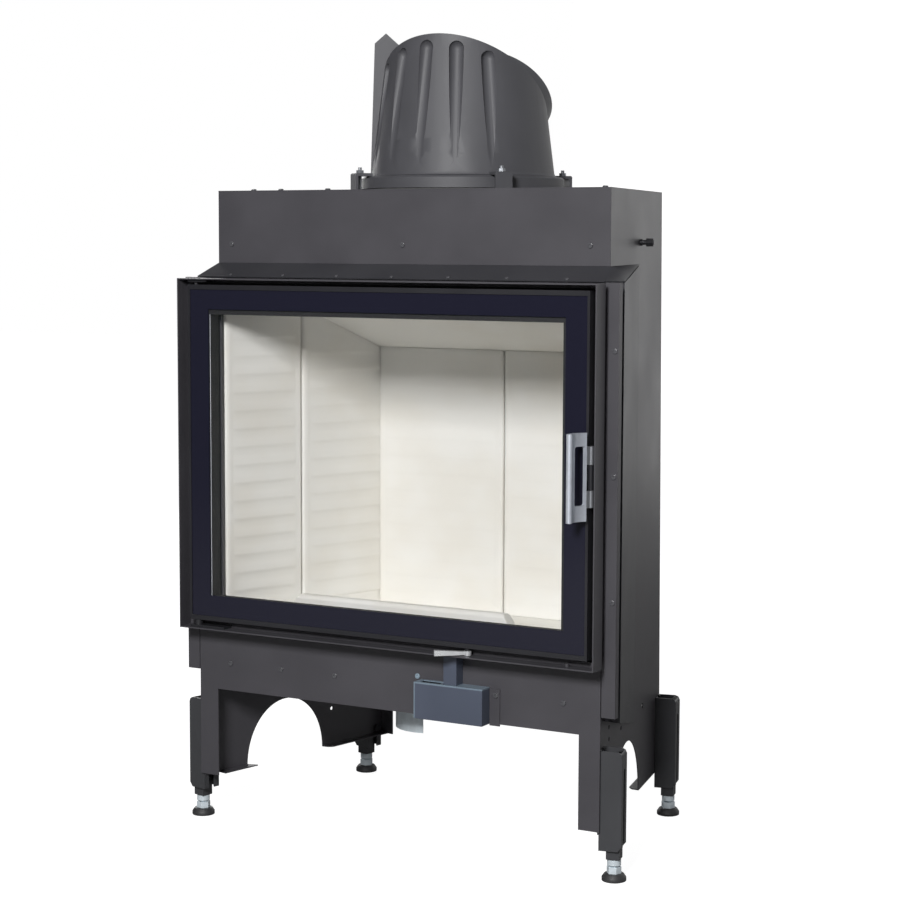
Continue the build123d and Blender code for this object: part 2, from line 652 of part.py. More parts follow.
RIM_FRONT = around(dome_radius(RIM_HEIGHT), RIM_TURN, RIM_HEIGHT)
RIM_BACKWARD = (around(0, 0, 0) - around(1, RIM_TURN, 0)) * math.sin(RIM_TILT)
RIM_PLANE = Plane(RIM_FRONT, z_dir=RIM_BACKWARD + Vector(0, 0, math.cos(RIM_TILT)))
AXIS_PLANE = Plane((0, DOME_Y, 0), x_dir=(1, 0, 0), z_dir=(0, -1, 0))
AXIS_LINE = Axis((0, DOME_Y, 0), (0, 0, 1))

with BuildPart() as dome_inside:
    with BuildSketch(AXIS_PLANE):
        outline([(0, DOME_SEAT), (DOME_BASE_R - DOME_WALL, DOME_SEAT),
                 (DOME_BASE_R - DOME_WALL, DOME_FLANGE_TOP),
                 (DOME_TOP_R - FLUTE_WALL, DOME_TOP), (0, DOME_TOP)])
    revolve(axis=AXIS_LINE)
    split(bisect_by=RIM_PLANE.offset(-DOME_WALL), keep=Keep.BOTTOM)

with BuildPart() as flue_dome:
    with BuildSketch(AXIS_PLANE):
        outline([(0, DOME_SEAT), (DOME_FLANGE_R, DOME_SEAT), (DOME_FLANGE_R, DOME_FLANGE_TOP - 3),
                 (DOME_FLANGE_R - 3, DOME_FLANGE_TOP), (DOME_BASE_R + 6, DOME_FLANGE_TOP),
                 (DOME_BASE_R + 1.5, DOME_FLANGE_TOP + 2), (DOME_BASE_R - 0.9, DOME_FLANGE_TOP + 7),
                 (DOME_TOP_R, DOME_TOP), (0, DOME_TOP)])
    revolve(axis=AXIS_LINE)
    split(bisect_by=RIM_PLANE, keep=Keep.BOTTOM)
    # box rib on the left, with a gabled top
    rib_out = around(1, RIB_ANGLE, 0) - around(0, RIB_ANGLE, 0)
    rib_plane = Plane((0, DOME_Y, 0), x_dir=rib_out, z_dir=(rib_out.Y, -rib_out.X, 0))
    with BuildSketch(rib_plane.offset(-RIB_WIDTH / 2)):
        outline([(DOME_BASE_R - DOME_WALL, DOME_FLANGE_TOP), (DOME_BASE_R + 0.4, DOME_FLANGE_TOP),
                 (149.5, 1329.5), (130.5, 1346.3), (106.5, 1325), (106.5, 1270)])
    extrude(amount=RIB_WIDTH)
    for angle in FLUTE_ANGLES:
        fall = 1 - math.cos(math.radians(angle - RIM_TURN))
        rim_drop = dome_radius(RIM_HEIGHT) * fall * math.tan(RIM_TILT)
        flute_top = RIM_HEIGHT - rim_drop - FLUTE_BELOW_RIM - FLUTE_R
        head = around(dome_radius(flute_top) + FLUTE_R - FLUTE_DEEP, angle, flute_top)
        foot = around(dome_radius(FLUTE_BOTTOM) + FLUTE_R, angle, FLUTE_BOTTOM)
        below = foot + (foot - head).normalized() * 12
        with Locations(Plane(below, z_dir=head - below)):
            Cylinder(FLUTE_R, (head - below).length, mode=Mode.SUBTRACT,
                     align=(Align.CENTER, Align.CENTER, Align.MIN))
        with Locations(head):
            Sphere(FLUTE_R, mode=Mode.SUBTRACT)
    neck_plane = Plane(NECK_ROOT, x_dir=(1, 0, 0), z_dir=UP_BACK)
    with BuildSketch(neck_plane):
        Circle(NECK_OUTER_R)
    extrude(amount=NECK_LENGTH)
    add(dome_inside.part, mode=Mode.SUBTRACT)
    with BuildSketch(neck_plane.offset(-DOME_WALL)):
        Circle(NECK_BORE_R)
    extrude(amount=NECK_LENGTH + DOME_WALL, mode=Mode.SUBTRACT)
    with BuildSketch(neck_plane.offset(NECK_LENGTH - PIPE_DEPTH)):
        Circle(PIPE_R)
    extrude(amount=PIPE_DEPTH, mode=Mode.SUBTRACT)
keep(flue_dome, "flue_dome")

# Flat sealing ring under the dome.
with BuildPart() as dome_gasket:
    with BuildSketch(floor_at(CASING_TOP)):
        with Locations((0, DOME_DEPTH)):
            Circle(DOME_FLANGE_R - 2)
            Circle(150, mode=Mode.SUBTRACT)
    extrude(amount=DOME_SEAT - CASING_TOP - 0.2)
keep(dome_gasket, "dome_gasket")

# Four clamps of bent strap hold the dome's flange down, each on a stud with a nut.
CLAMP_UNDER = DOME_FLANGE_TOP + 0.3
CLAMP_TOP = CLAMP_UNDER + CLAMP_STRAP
CLAMP_OUTER_R = CLAMP_CIRCLE_R + 12
with BuildPart() as dome_clamps:
    with BuildSketch(AXIS_PLANE.offset(-CLAMP_WIDTH / 2)):
        outline([(CLAMP_OUTER_R - CLAMP_STRAP, CASING_TOP), (CLAMP_OUTER_R, CASING_TOP),
                 (CLAMP_OUTER_R, CLAMP_TOP - 2), (CLAMP_OUTER_R - 2, CLAMP_TOP),
                 (DOME_FLANGE_R - 7, CLAMP_TOP), (DOME_FLANGE_R - 7, CLAMP_UNDER),
                 (CLAMP_OUTER_R - CLAMP_STRAP, CLAMP_UNDER)])
    clamp = extrude(amount=CLAMP_WIDTH, mode=Mode.PRIVATE)
    for quarter in range(4):
        add(clamp.rotate(AXIS_LINE, CLAMP_TURN + 90 * quarter))
    with BuildSketch(floor_at(CASING_TOP)):
        with Locations((0, DOME_DEPTH)):
            with PolarLocations(CLAMP_CIRCLE_R, 4, CLAMP_TURN):
                Circle(CLAMP_STUD_R + 0.3)
    extrude(amount=40, mode=Mode.SUBTRACT)
keep(dome_clamps, "dome_clamps")

with BuildPart() as clamp_studs:
    with BuildSketch(floor_at(PLATE_TOP)):
        with Locations((0, DOME_DEPTH)):
            with PolarLocations(CLAMP_CIRCLE_R, 4, CLAMP_TURN):
                Circle(CLAMP_STUD_R)
    extrude(amount=40)
    with BuildSketch(floor_at(CLAMP_TOP)):
        with Locations((0, DOME_DEPTH)):
            with PolarLocations(CLAMP_CIRCLE_R, 4, CLAMP_TURN):
                RegularPolygon(radius=CLAMP_NUT_R, side_count=6)
    extrude(amount=5)
keep(clamp_studs, "clamp_studs")

# ---------------------------------------------------------------- door
# Door rim: deep side walls with a narrow lip in front of the glass, holes for the
# hinge pins, slots for the latch hooks and the middle knuckle of the handle.
with BuildPart() as door_frame:
    with BuildSketch(face_on(DOOR_FRONT)):
        oblong(-DOOR_HALF, DOOR_HALF, DOOR_BOTTOM, DOOR_TOP)
        oblong(-DOOR_HALF + RIM_SIDE, DOOR_HALF - RIM_SIDE, DOOR_BOTTOM + RIM_END, DOOR_TOP - RIM_END,
               mode=Mode.SUBTRACT)
    extrude(amount=-SHEET)
    with BuildSketch(face_on(DOOR_FRONT)):
        oblong(-DOOR_HALF, DOOR_HALF, DOOR_BOTTOM, DOOR_TOP)
        oblong(-DOOR_HALF + DOOR_SIDE_WALL, DOOR_HALF - DOOR_SIDE_WALL,
               DOOR_BOTTOM + DOOR_END_WALL, DOOR_TOP - DOOR_END_WALL, mode=Mode.SUBTRACT)
    extrude(amount=DOOR_FRONT - DOOR_BACK)
    with BuildSketch(floor_at(DOOR_BOTTOM)):
        with Locations((HINGE_X, HINGE_DEPTH)):
            Circle(HINGE_PIN_R + PIN_CLEARANCE)
    extrude(amount=DOOR_TOP - DOOR_BOTTOM, mode=Mode.SUBTRACT)
    with BuildSketch(side_on(DOOR_HALF - DOOR_SIDE_WALL - 1)):
        for height in HOOK_HEIGHTS:
            oblong(12, 25, height - 4.5, height + 4.5)
    extrude(amount=DOOR_SIDE_WALL + 2, mode=Mode.SUBTRACT)
    with BuildSketch(floor_at(SLEEVES[0][1] + 1)):
        with Locations((PIVOT_X, PIVOT_DEPTH)):
            Circle(KNUCKLE_R)
        oblong(DOOR_HALF, PIVOT_X, DOOR_FRONT + 0.2, PIVOT_DEPTH + KNUCKLE_R)
        with Locations((PIVOT_X, PIVOT_DEPTH)):
            Circle(PIVOT_PIN_R, mode=Mode.SUBTRACT)
    extrude(amount=SLEEVES[1][0] - SLEEVES[0][1] - 2)
keep(door_frame, "door_frame")

with BuildPart() as door_glass:
    with BuildSketch(face_on(DOOR_FRONT + SHEET)):
        oblong(-DOOR_HALF + DOOR_SIDE_WALL + 0.3, DOOR_HALF - DOOR_SIDE_WALL - 0.3,
               DOOR_BOTTOM + DOOR_END_WALL + 0.3, DOOR_TOP - DOOR_END_WALL - 0.3)
    extrude(amount=-GLASS)
keep(door_glass, "door_glass")

# Inner door frame: a channel ring behind the glass with the gasket groove.
CHANNEL_FRONT = DOOR_FRONT + SHEET + GLASS
with BuildPart() as inner_frame:
    with BuildSketch(face_on(CHANNEL_FRONT)):
        oblong(-DOOR_HALF + DOOR_SIDE_WALL + 0.2, DOOR_HALF - DOOR_SIDE_WALL - 0.2,
               DOOR_BOTTOM + DOOR_END_WALL + 0.2, DOOR_TOP - DOOR_END_WALL - 0.2)
        oblong(-WINDOW_HALF, WINDOW_HALF, WINDOW_BOTTOM, WINDOW_TOP, mode=Mode.SUBTRACT)
    extrude(amount=CHANNEL_FRONT - DOOR_BACK)
    with BuildSketch(face_on(CHANNEL_FRONT + SHEET)):
        oblong(-DOOR_HALF, DOOR_HALF, DOOR_BOTTOM, DOOR_TOP)
        oblong(-WINDOW_HALF - SHEET, WINDOW_HALF + SHEET, WINDOW_BOTTOM - SHEET, WINDOW_TOP + SHEET,
               mode=Mode.SUBTRACT)
    extrude(amount=-(DOOR_BACK - 6 - CHANNEL_FRONT), mode=Mode.SUBTRACT)
    with BuildSketch(face_on(DOOR_BACK)):
        oblong(-GASKET_INNER - GASKET_WIDTH, GASKET_INNER + GASKET_WIDTH, GASKET_BOTTOM, GASKET_TOP)
        offset(amount=-GASKET_WIDTH, mode=Mode.SUBTRACT, kind=Kind.INTERSECTION)
    extrude(amount=3, mode=Mode.SUBTRACT)
keep(inner_frame, "inner_door_frame")

# Rope seal in the groove, flattened where it meets the firebox.
with BuildPart() as door_gasket:
    with BuildSketch(face_on(FACE_DEPTH - 0.3)):
        oblong(-GASKET_INNER - GASKET_WIDTH, GASKET_INNER + GASKET_WIDTH, GASKET_BOTTOM, GASKET_TOP)
        offset(amount=-GASKET_WIDTH, mode=Mode.SUBTRACT, kind=Kind.INTERSECTION)
    extrude(amount=FACE_DEPTH - 0.3 - DOOR_BACK + 3)
    fillet(door_gasket.faces().sort_by(Axis.Y)[-1].edges(), radius=3)
keep(door_gasket, "door_gasket")

# Hinge brackets on the surround, each with a welded pin; the lower one has a
# shoulder that carries the door.
with BuildPart() as hinge_brackets:
    floor_top = SURROUND_BOTTOM + SHEET
    with BuildSketch(floor_at(floor_top)):
        oblong(HINGE_X - 12, -303, 6, SURROUND_DEPTH - SHEET - 0.5)
    extrude(amount=PLATE)
    with BuildSketch(floor_at(floor_top + PLATE)):
        with Locations((HINGE_X, HINGE_DEPTH)):
            Circle(7)
    extrude(amount=DOOR_BOTTOM - 0.1 - floor_top - PLATE)
    with BuildSketch(floor_at(floor_top + PLATE)):
        with Locations((HINGE_X, HINGE_DEPTH)):
            Circle(HINGE_PIN_R)
    extrude(amount=DOOR_BOTTOM + DOOR_END_WALL - 0.3 - floor_top - PLATE)
    ceiling = SURROUND_TOP - SHEET
    with BuildSketch(floor_at(ceiling - PLATE)):
        oblong(HINGE_X - 12, HINGE_X + 25, 6, SURROUND_DEPTH - SHEET - 0.5)
    extrude(amount=PLATE)
    with BuildSketch(floor_at(DOOR_TOP - DOOR_END_WALL + 0.3)):
        with Locations((HINGE_X, HINGE_DEPTH)):
            Circle(HINGE_PIN_R)
    extrude(amount=ceiling - PLATE - DOOR_TOP + DOOR_END_WALL - 0.3)
keep(hinge_brackets, "hinge_brackets")

# ---------------------------------------------------------------- door handle
# Handle: a curved aluminium plate with a window, thick and round at the grip.
lean_x = HANDLE_REAR_X - GRIP_X
lean_y = HANDLE_REAR_DEPTH - GRIP_DEPTH
HANDLE_LONG = math.hypot(lean_x, lean_y)
with BuildPart() as door_handle:
    with BuildSketch(floor_at(HANDLE_BOTTOM)):
        with BuildLine():
            grip = Vector(GRIP_X, GRIP_DEPTH)
            ahead = Vector(lean_x, lean_y).normalized()
            aside = Vector(-ahead.Y, ahead.X)
            rear = Vector(HANDLE_REAR_X, HANDLE_REAR_DEPTH)
            bow = grip + ahead * (HANDLE_LONG / 2) + aside * 5.5
            ThreePointArc(grip + aside * GRIP_R, bow + aside * 3.5, rear + aside * HANDLE_REAR_HALF)
            Line(rear + aside * HANDLE_REAR_HALF, rear - aside * HANDLE_REAR_HALF)
            ThreePointArc(rear - aside * HANDLE_REAR_HALF, bow - aside * 3.5, grip - aside * GRIP_R)
            ThreePointArc(grip - aside * GRIP_R, grip - ahead * GRIP_R, grip + aside * GRIP_R)
        make_face()
    extrude(amount=HANDLE_TOP - HANDLE_BOTTOM)
    window_plane = Plane((GRIP_X, FRAME_FRONT + GRIP_DEPTH, 0), x_dir=(ahead.X, ahead.Y, 0),
                         z_dir=(ahead.Y, -ahead.X, 0))
    with BuildSketch(window_plane):
        with Locations(((HANDLE_WINDOW_START + HANDLE_WINDOW_END) / 2,
                        (HANDLE_WINDOW_BOTTOM + HANDLE_WINDOW_TOP) / 2)):
            RectangleRounded(HANDLE_WINDOW_END - HANDLE_WINDOW_START,
                             HANDLE_WINDOW_TOP - HANDLE_WINDOW_BOTTOM, 4)
    extrude(amount=30, both=True, mode=Mode.SUBTRACT)
keep(door_handle, "door_handle")

# Latch hooks: a sleeve on the pivot pin, a web to the handle and a hook plate.
with BuildPart() as latch_hooks:
    pivot = Vector(PIVOT_X, PIVOT_DEPTH)
    reach = (rear - pivot)
    web = reach.normalized()
    for (low, high), hook in zip(SLEEVES, HOOK_HEIGHTS):
        with BuildSketch(floor_at(low)):
            outline([pivot + Vector(-web.Y, web.X) * 2, rear + Vector(-web.Y, web.X) * 2,
                     rear - Vector(-web.Y, web.X) * 2, pivot - Vector(-web.Y, web.X) * 2])
            with Locations((PIVOT_X, PIVOT_DEPTH)):
                Circle(KNUCKLE_R)
                Circle(PIVOT_PIN_R + PIN_CLEARANCE, mode=Mode.SUBTRACT)
        extrude(amount=high - low)
        with BuildSketch(floor_at(hook - 3)):
            outline([(PIVOT_X - 1, PIVOT_DEPTH + 3.2), (PIVOT_X + 2, PIVOT_DEPTH + 3.2),
                     (PIVOT_X + 2, PIVOT_DEPTH + 8.5), (PIVOT_X + 4.4, PIVOT_DEPTH + 8.5),
                     (PIVOT_X + 4.4, PIVOT_DEPTH + 11), (PIVOT_X - 1, PIVOT_DEPTH + 11)])
        extrude(amount=6)
    add(door_handle.part, mode=Mode.SUBTRACT)
keep(latch_hooks, "latch_hooks")

with BuildPart() as handle_pin:
    with BuildSketch(floor_at(SLEEVES[0][0] - 1)):
        with Locations((PIVOT_X, PIVOT_DEPTH)):
            Circle(PIVOT_PIN_R)
    extrude(amount=SLEEVES[1][1] - SLEEVES[0][0] + 2)
keep(handle_pin, "handle_pin")

# Keepers on the surround's inner wall, just beside the hooks.
with BuildPart() as latch_keepers:
    for height in HOOK_HEIGHTS:
        with BuildSketch(floor_at(height - 6)):
            oblong(PIVOT_X + 4.8, SURROUND_HALF - SHEET, 9, 16)
        extrude(amount=12)
keep(latch_keepers, "latch_keepers")

# ---------------------------------------------------------------- combustion air
# Lever on the surround's lower flange, below the door.
LEVER_FLOOR = SURROUND_BOTTOM + SHEET
with BuildPart() as air_lever:
    with BuildSketch(floor_at(LEVER_FLOOR + 0.6)):
        with Locations((LEVER_X, LEVER_DEPTH)):
            Circle(6)
    extrude(amount=7)
    lever_plane = Plane((LEVER_X, FRAME_FRONT + LEVER_DEPTH, 0),
                        x_dir=(math.cos(math.radians(LEVER_ANGLE)), math.sin(math.radians(LEVER_ANGLE)), 0),
                        z_dir=(math.sin(math.radians(LEVER_ANGLE)), -math.cos(math.radians(LEVER_ANGLE)), 0))
    with BuildSketch(lever_plane):
        outline([(0, LEVER_FLOOR + 1.5), (LEVER_LENGTH, LEVER_FLOOR + 1),
                 (LEVER_LENGTH, LEVER_FLOOR + 10), (0, LEVER_FLOOR + 6.5)])
    extrude(amount=3.5, both=True)
    with BuildSketch(floor_at(LEVER_FLOOR)):
        with Locations((LEVER_X, LEVER_DEPTH)):
            Circle(3 + PIN_CLEARANCE)
    extrude(amount=12, mode=Mode.SUBTRACT)
keep(air_lever, "air_lever")

with BuildPart() as lever_pivot:
    with BuildSketch(floor_at(LEVER_FLOOR)):
        with Locations((LEVER_X, LEVER_DEPTH)):
            Circle(3)
    extrude(amount=9)
    with BuildSketch(floor_at(LEVER_FLOOR + 8)):
        with Locations((LEVER_X, LEVER_DEPTH)):
            Circle(5)
    extrude(amount=2.5)
keep(lever_pivot, "lever_pivot")

# Control box on the base panel and its neck up to the surround.
with BuildPart() as air_box:
    with BuildSketch(face_on(AIR_BOX_DEPTH)):
        oblong(AIR_BOX_LEFT, AIR_BOX_RIGHT, AIR_BOX_BOTTOM, AIR_BOX_TOP)
    extrude(amount=AIR_BOX_DEPTH - FACE_DEPTH)
    with BuildSketch(face_on(AIR_BOX_DEPTH + SHEET)):
        oblong(AIR_BOX_LEFT + SHEET, AIR_BOX_RIGHT - SHEET, AIR_BOX_BOTTOM + SHEET, AIR_BOX_TOP - SHEET)
    extrude(amount=AIR_BOX_DEPTH - FACE_DEPTH, mode=Mode.SUBTRACT)
    with BuildSketch(floor_at(AIR_BOX_TOP - SHEET)):
        oblong(AIR_BOX_LEFT + 8, NECK_LEFT - 8, AIR_BOX_DEPTH + 6, FACE_DEPTH - 6)
    extrude(amount=SHEET, mode=Mode.SUBTRACT)
keep(air_box, "air_box")

with BuildPart() as air_neck:
    with BuildSketch(floor_at(AIR_BOX_TOP)):
        oblong(NECK_LEFT, NECK_RIGHT, NECK_DEPTH, FACE_DEPTH)
        oblong(NECK_LEFT + SHEET, NECK_RIGHT - SHEET, NECK_DEPTH + SHEET, FACE_DEPTH, mode=Mode.SUBTRACT)
    extrude(amount=SURROUND_BOTTOM - AIR_BOX_TOP)
keep(air_neck, "air_neck")

# Galvanised air collar under the firebox; its lower lip is drawn in and has a notch
# at the front right.
with BuildPart() as air_spigot:
    for level, top, radius in ((COLLAR_NOTCH_TOP, BOX_BOTTOM, COLLAR_R),
                               (COLLAR_BOTTOM, COLLAR_NOTCH_TOP, LIP_R)):
        with BuildSketch(floor_at(level)):
            with Locations((0, COLLAR_DEPTH)):
                Circle(radius)
                Circle(radius - COLLAR_WALL, mode=Mode.SUBTRACT)
        extrude(amount=top - level)
    with BuildSketch(floor_at(COLLAR_BOTTOM)):
        with BuildLine():
            start = PolarLine((0, COLLAR_DEPTH), 90, -74)
            finish = PolarLine((0, COLLAR_DEPTH), 90, -4)
            Line(start @ 1, finish @ 1)
        make_face()
    extrude(amount=COLLAR_NOTCH_TOP - COLLAR_BOTTOM, mode=Mode.SUBTRACT)
    with BuildSketch(side_on(-COLLAR_R - 2)):
        with Locations((COLLAR_DEPTH, DAMPER_HEIGHT)):
            Circle(DAMPER_SHAFT_R + PIN_CLEARANCE)
    extrude(amount=2 * COLLAR_R + 4, mode=Mode.SUBTRACT)
keep(air_spigot, "air_spigot")

# Butterfly damper in the collar, turned by the lever.
with BuildPart() as air_damper:
    tilt = math.radians(DAMPER_TILT)
    with BuildSketch(Plane((0, FRAME_FRONT + COLLAR_DEPTH, DAMPER_HEIGHT), x_dir=(1, 0, 0),
                           z_dir=(0, -math.sin(tilt), math.cos(tilt)))):
        Circle(COLLAR_R - COLLAR_WALL - 1)
    extrude(amount=1, both=True)
    with BuildSketch(side_on(-COLLAR_R)):
        with Locations((COLLAR_DEPTH, DAMPER_HEIGHT)):
            Circle(DAMPER_SHAFT_R)
    extrude(amount=2 * COLLAR_R)
keep(air_damper, "air_damper")

# ---------------------------------------------------------------- legs and feet
# Each leg is a channel whose lips face the casing's side. It slides on the head of a
# bolt and carries a square socket with a levelling foot. The channel's outer face
# has a long slot.
for place, run in zip(("front", "rear"), LEG_RUNS):
    with BuildPart() as leg_channel:
        with BuildSketch(along_side(run, LEG_BOTTOM)):
            oblong(0.3, LEG_OUT, -LEG_HALF, LEG_HALF)
            oblong(0.3 + LEG_SHEET, LEG_OUT - LEG_SHEET, -LEG_HALF + LEG_SHEET, LEG_HALF - LEG_SHEET,
                   mode=Mode.SUBTRACT)
            oblong(0, 1 + LEG_SHEET, -LEG_LIP_GAP, LEG_LIP_GAP, mode=Mode.SUBTRACT)
        extrude(amount=LEG_TOP - LEG_BOTTOM)
        corner = along_side(run + LEG_HALF + 1, 0)
        with BuildSketch(Plane(corner.origin, x_dir=corner.x_dir, z_dir=(SIN_TAPER, -COS_TAPER, 0))):
            outline([(0, LEG_BOTTOM), (LEG_OUT - 6, LEG_BOTTOM), (LEG_OUT, LEG_BOTTOM + 8),
                     (LEG_OUT, LEG_TOP - 8), (LEG_OUT - 2.4, LEG_TOP - 2.4), (LEG_OUT - 8, LEG_TOP),
                     (0, LEG_TOP)])
        extrude(amount=2 * LEG_HALF + 2, mode=Mode.INTERSECT)
        with BuildSketch(SIDE_FACE.offset(LEG_OUT - 5)):
            with Locations((run, (LEG_SLOT_BOTTOM + LEG_SLOT_TOP) / 2)):
                SlotOverall(LEG_SLOT_TOP - LEG_SLOT_BOTTOM, 2 * LEG_BOLT_R + 1, rotation=90)
        extrude(amount=10, mode=Mode.SUBTRACT)
    keep_pair(leg_channel, f"{place}_leg_channel")

    with BuildPart() as foot_socket:
        with BuildSketch(along_side(run, SOCKET_BOTTOM)):
            with Locations((FOOT_OUT, 0)):
                Rectangle(SOCKET, SOCKET)
                Rectangle(SOCKET - 4, SOCKET - 4, mode=Mode.SUBTRACT)
        extrude(amount=SOCKET_TOP - SOCKET_BOTTOM)
        with BuildSketch(along_side(run, SOCKET_BOTTOM)):
            with Locations((FOOT_OUT, 0)):
                Rectangle(SOCKET, SOCKET)
                Circle(SPINDLE_R + PIN_CLEARANCE, mode=Mode.SUBTRACT)
        extrude(amount=PLATE)
        with BuildSketch(along_side(run, LEG_BOTTOM + 2)):
            oblong(FOOT_OUT + SOCKET / 2, LEG_OUT - LEG_SHEET, -6, 6)
        extrude(amount=20)
    keep_pair(foot_socket, f"{place}_foot_socket")

    with BuildPart() as foot_spindle:
        with BuildSketch(along_side(run, DISC_HEIGHT)):
            with Locations((FOOT_OUT, 0)):
                RegularPolygon(radius=12, side_count=6)
        extrude(amount=11)
        with BuildSketch(along_side(run, DISC_HEIGHT)):
            with Locations((FOOT_OUT, 0)):
                Circle(SPINDLE_R)
        extrude(amount=SPINDLE_TOP - DISC_HEIGHT)
        with BuildSketch(along_side(run, DISC_HEIGHT + 13)):
            with Locations((FOOT_OUT, 0)):
                Circle(11)
        extrude(amount=9)
    keep_pair(foot_spindle, f"{place}_foot_spindle")

    with BuildPart() as foot_disc:
        with BuildSketch(along_side(run, 0)):
            with Locations((FOOT_OUT, 0)):
                Circle(DISC_R)
        extrude(amount=6)
        with BuildSketch(along_side(run, 6)):
            with Locations((FOOT_OUT, 0)):
                Circle(DISC_R)
        extrude(amount=DISC_HEIGHT - 6, taper=35)
    keep_pair(foot_disc, f"{place}_foot_disc")

# Bolts that clamp the legs: an oblong head behind the channel's lips and a nut on
# the inside of the casing.
with BuildPart() as leg_bolts:
    for run in LEG_RUNS:
        with BuildSketch(SIDE_FACE.offset(-8)):
            with Locations((run, LEG_BOLT_HEIGHT)):
                Circle(LEG_BOLT_R)
        extrude(amount=8 + 7)
        with BuildSketch(SIDE_FACE.offset(0.5 + LEG_SHEET)):
            with Locations((run, LEG_BOLT_HEIGHT)):
                Rectangle(24, 14)
        extrude(amount=4.5)
        with BuildSketch(SIDE_FACE.offset(-8)):
            with Locations((run, LEG_BOLT_HEIGHT)):
                RegularPolygon(radius=7, side_count=6, rotation=30)
        extrude(amount=5.5)
    mirror(leg_bolts.part, about=Plane.YZ)
keep(leg_bolts, "leg_bolts")

# ---------------------------------------------------------------- fasteners
with BuildPart() as casing_screws:
    rows = ((FACE_DEPTH, [(x, BASE_SCREW_HEIGHT) for x in BASE_SCREW_X]),
            (FACE_DEPTH - SHEET, [(PAD_SCREW_X, BASE_SCREW_HEIGHT)]),
            (UPPER_DEPTH, [(x, UPPER_SCREW_HEIGHT) for x in UPPER_SCREW_X]),
            (FACE_DEPTH, [(side * RAIL_SCREW_X, height) for side in (-1, 1)
                          for height in RAIL_SCREW_HEIGHTS]))
    for depth, spots in rows:
        with BuildSketch(face_on(depth)):
            with Locations(*spots):
                Circle(SCREW_HEAD_R)
        extrude(amount=SCREW_HEAD)
        with BuildSketch(face_on(depth)):
            with Locations(*spots):
                RegularPolygon(radius=SCREW_SHANK_R, side_count=6)
        extrude(amount=-3)
    top_spots = [(x, TOP_SCREW_DEPTH) for x in TOP_SCREW_X]
    with BuildSketch(floor_at(CASING_TOP)):
        with Locations(*top_spots):
            Circle(SCREW_HEAD_R)
    extrude(amount=SCREW_HEAD)
    with BuildSketch(floor_at(CASING_TOP)):
        with Locations(*top_spots):
            RegularPolygon(radius=SCREW_SHANK_R, side_count=6)
    extrude(amount=-SHEET)
keep(casing_screws, "casing_screws")

# Short stud on the upper right of the casing, with a collar at its foot and a nut
# near its end.
with BuildPart() as side_stud:
    for radius, start, end in ((4, 0, 23), (5.5, 0, 4)):
        with BuildSketch(SIDE_FACE.offset(start)):
            with Locations((run_at(STUD_DEPTH), STUD_HEIGHT)):
                Circle(radius)
        extrude(amount=end - start)
    with BuildSketch(SIDE_FACE.offset(10)):
        with Locations((run_at(STUD_DEPTH), STUD_HEIGHT)):
            RegularPolygon(radius=7.5, side_count=6)
    extrude(amount=12)
keep(side_stud, "side_stud")
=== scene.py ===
import json
import math

import bpy
from mathutils import Matrix, Vector

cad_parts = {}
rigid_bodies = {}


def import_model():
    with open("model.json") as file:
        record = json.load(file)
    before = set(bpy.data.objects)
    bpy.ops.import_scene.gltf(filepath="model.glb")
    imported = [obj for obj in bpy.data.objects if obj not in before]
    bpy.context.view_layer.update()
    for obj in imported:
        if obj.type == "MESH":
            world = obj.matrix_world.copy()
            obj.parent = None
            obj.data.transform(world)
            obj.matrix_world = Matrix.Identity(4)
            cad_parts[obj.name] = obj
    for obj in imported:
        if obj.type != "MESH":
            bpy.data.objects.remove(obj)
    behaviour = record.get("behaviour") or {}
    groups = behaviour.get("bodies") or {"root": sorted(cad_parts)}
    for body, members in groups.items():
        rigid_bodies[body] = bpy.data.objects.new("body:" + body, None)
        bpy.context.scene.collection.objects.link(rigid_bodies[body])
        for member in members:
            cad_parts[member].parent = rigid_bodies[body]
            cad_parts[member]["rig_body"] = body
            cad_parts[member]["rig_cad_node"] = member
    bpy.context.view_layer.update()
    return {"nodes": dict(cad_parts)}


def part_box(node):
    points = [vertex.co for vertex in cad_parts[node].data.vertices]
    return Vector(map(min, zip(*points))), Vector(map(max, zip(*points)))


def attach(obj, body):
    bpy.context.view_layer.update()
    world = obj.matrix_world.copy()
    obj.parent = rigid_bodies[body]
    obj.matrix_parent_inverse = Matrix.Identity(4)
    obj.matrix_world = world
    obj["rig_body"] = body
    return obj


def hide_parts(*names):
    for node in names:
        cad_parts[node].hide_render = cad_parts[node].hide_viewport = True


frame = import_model()
nodes = frame["nodes"]

# ---------------------------------------------------------------- casing sheets
# The casing is folded from steel sheet and sprayed with matt dark grey stove paint. Its
# panels overlap at the edges and are screwed together. The sloping strip with its wings
# and the three-cornered side jackets are painted a shade darker, as painted shade.
SHEET_EDGE = 0.0005             # width of the rounding along a sheet's edge
SAME_SPOT = 0.00001             # points closer than this are merged
FLAT = math.radians(0.5)        # faces that turn less than this become one
SHARP = math.radians(40)        # edges that turn more than this are rounded
SMOOTH = math.radians(35)       # edges that turn less than this are shaded smooth


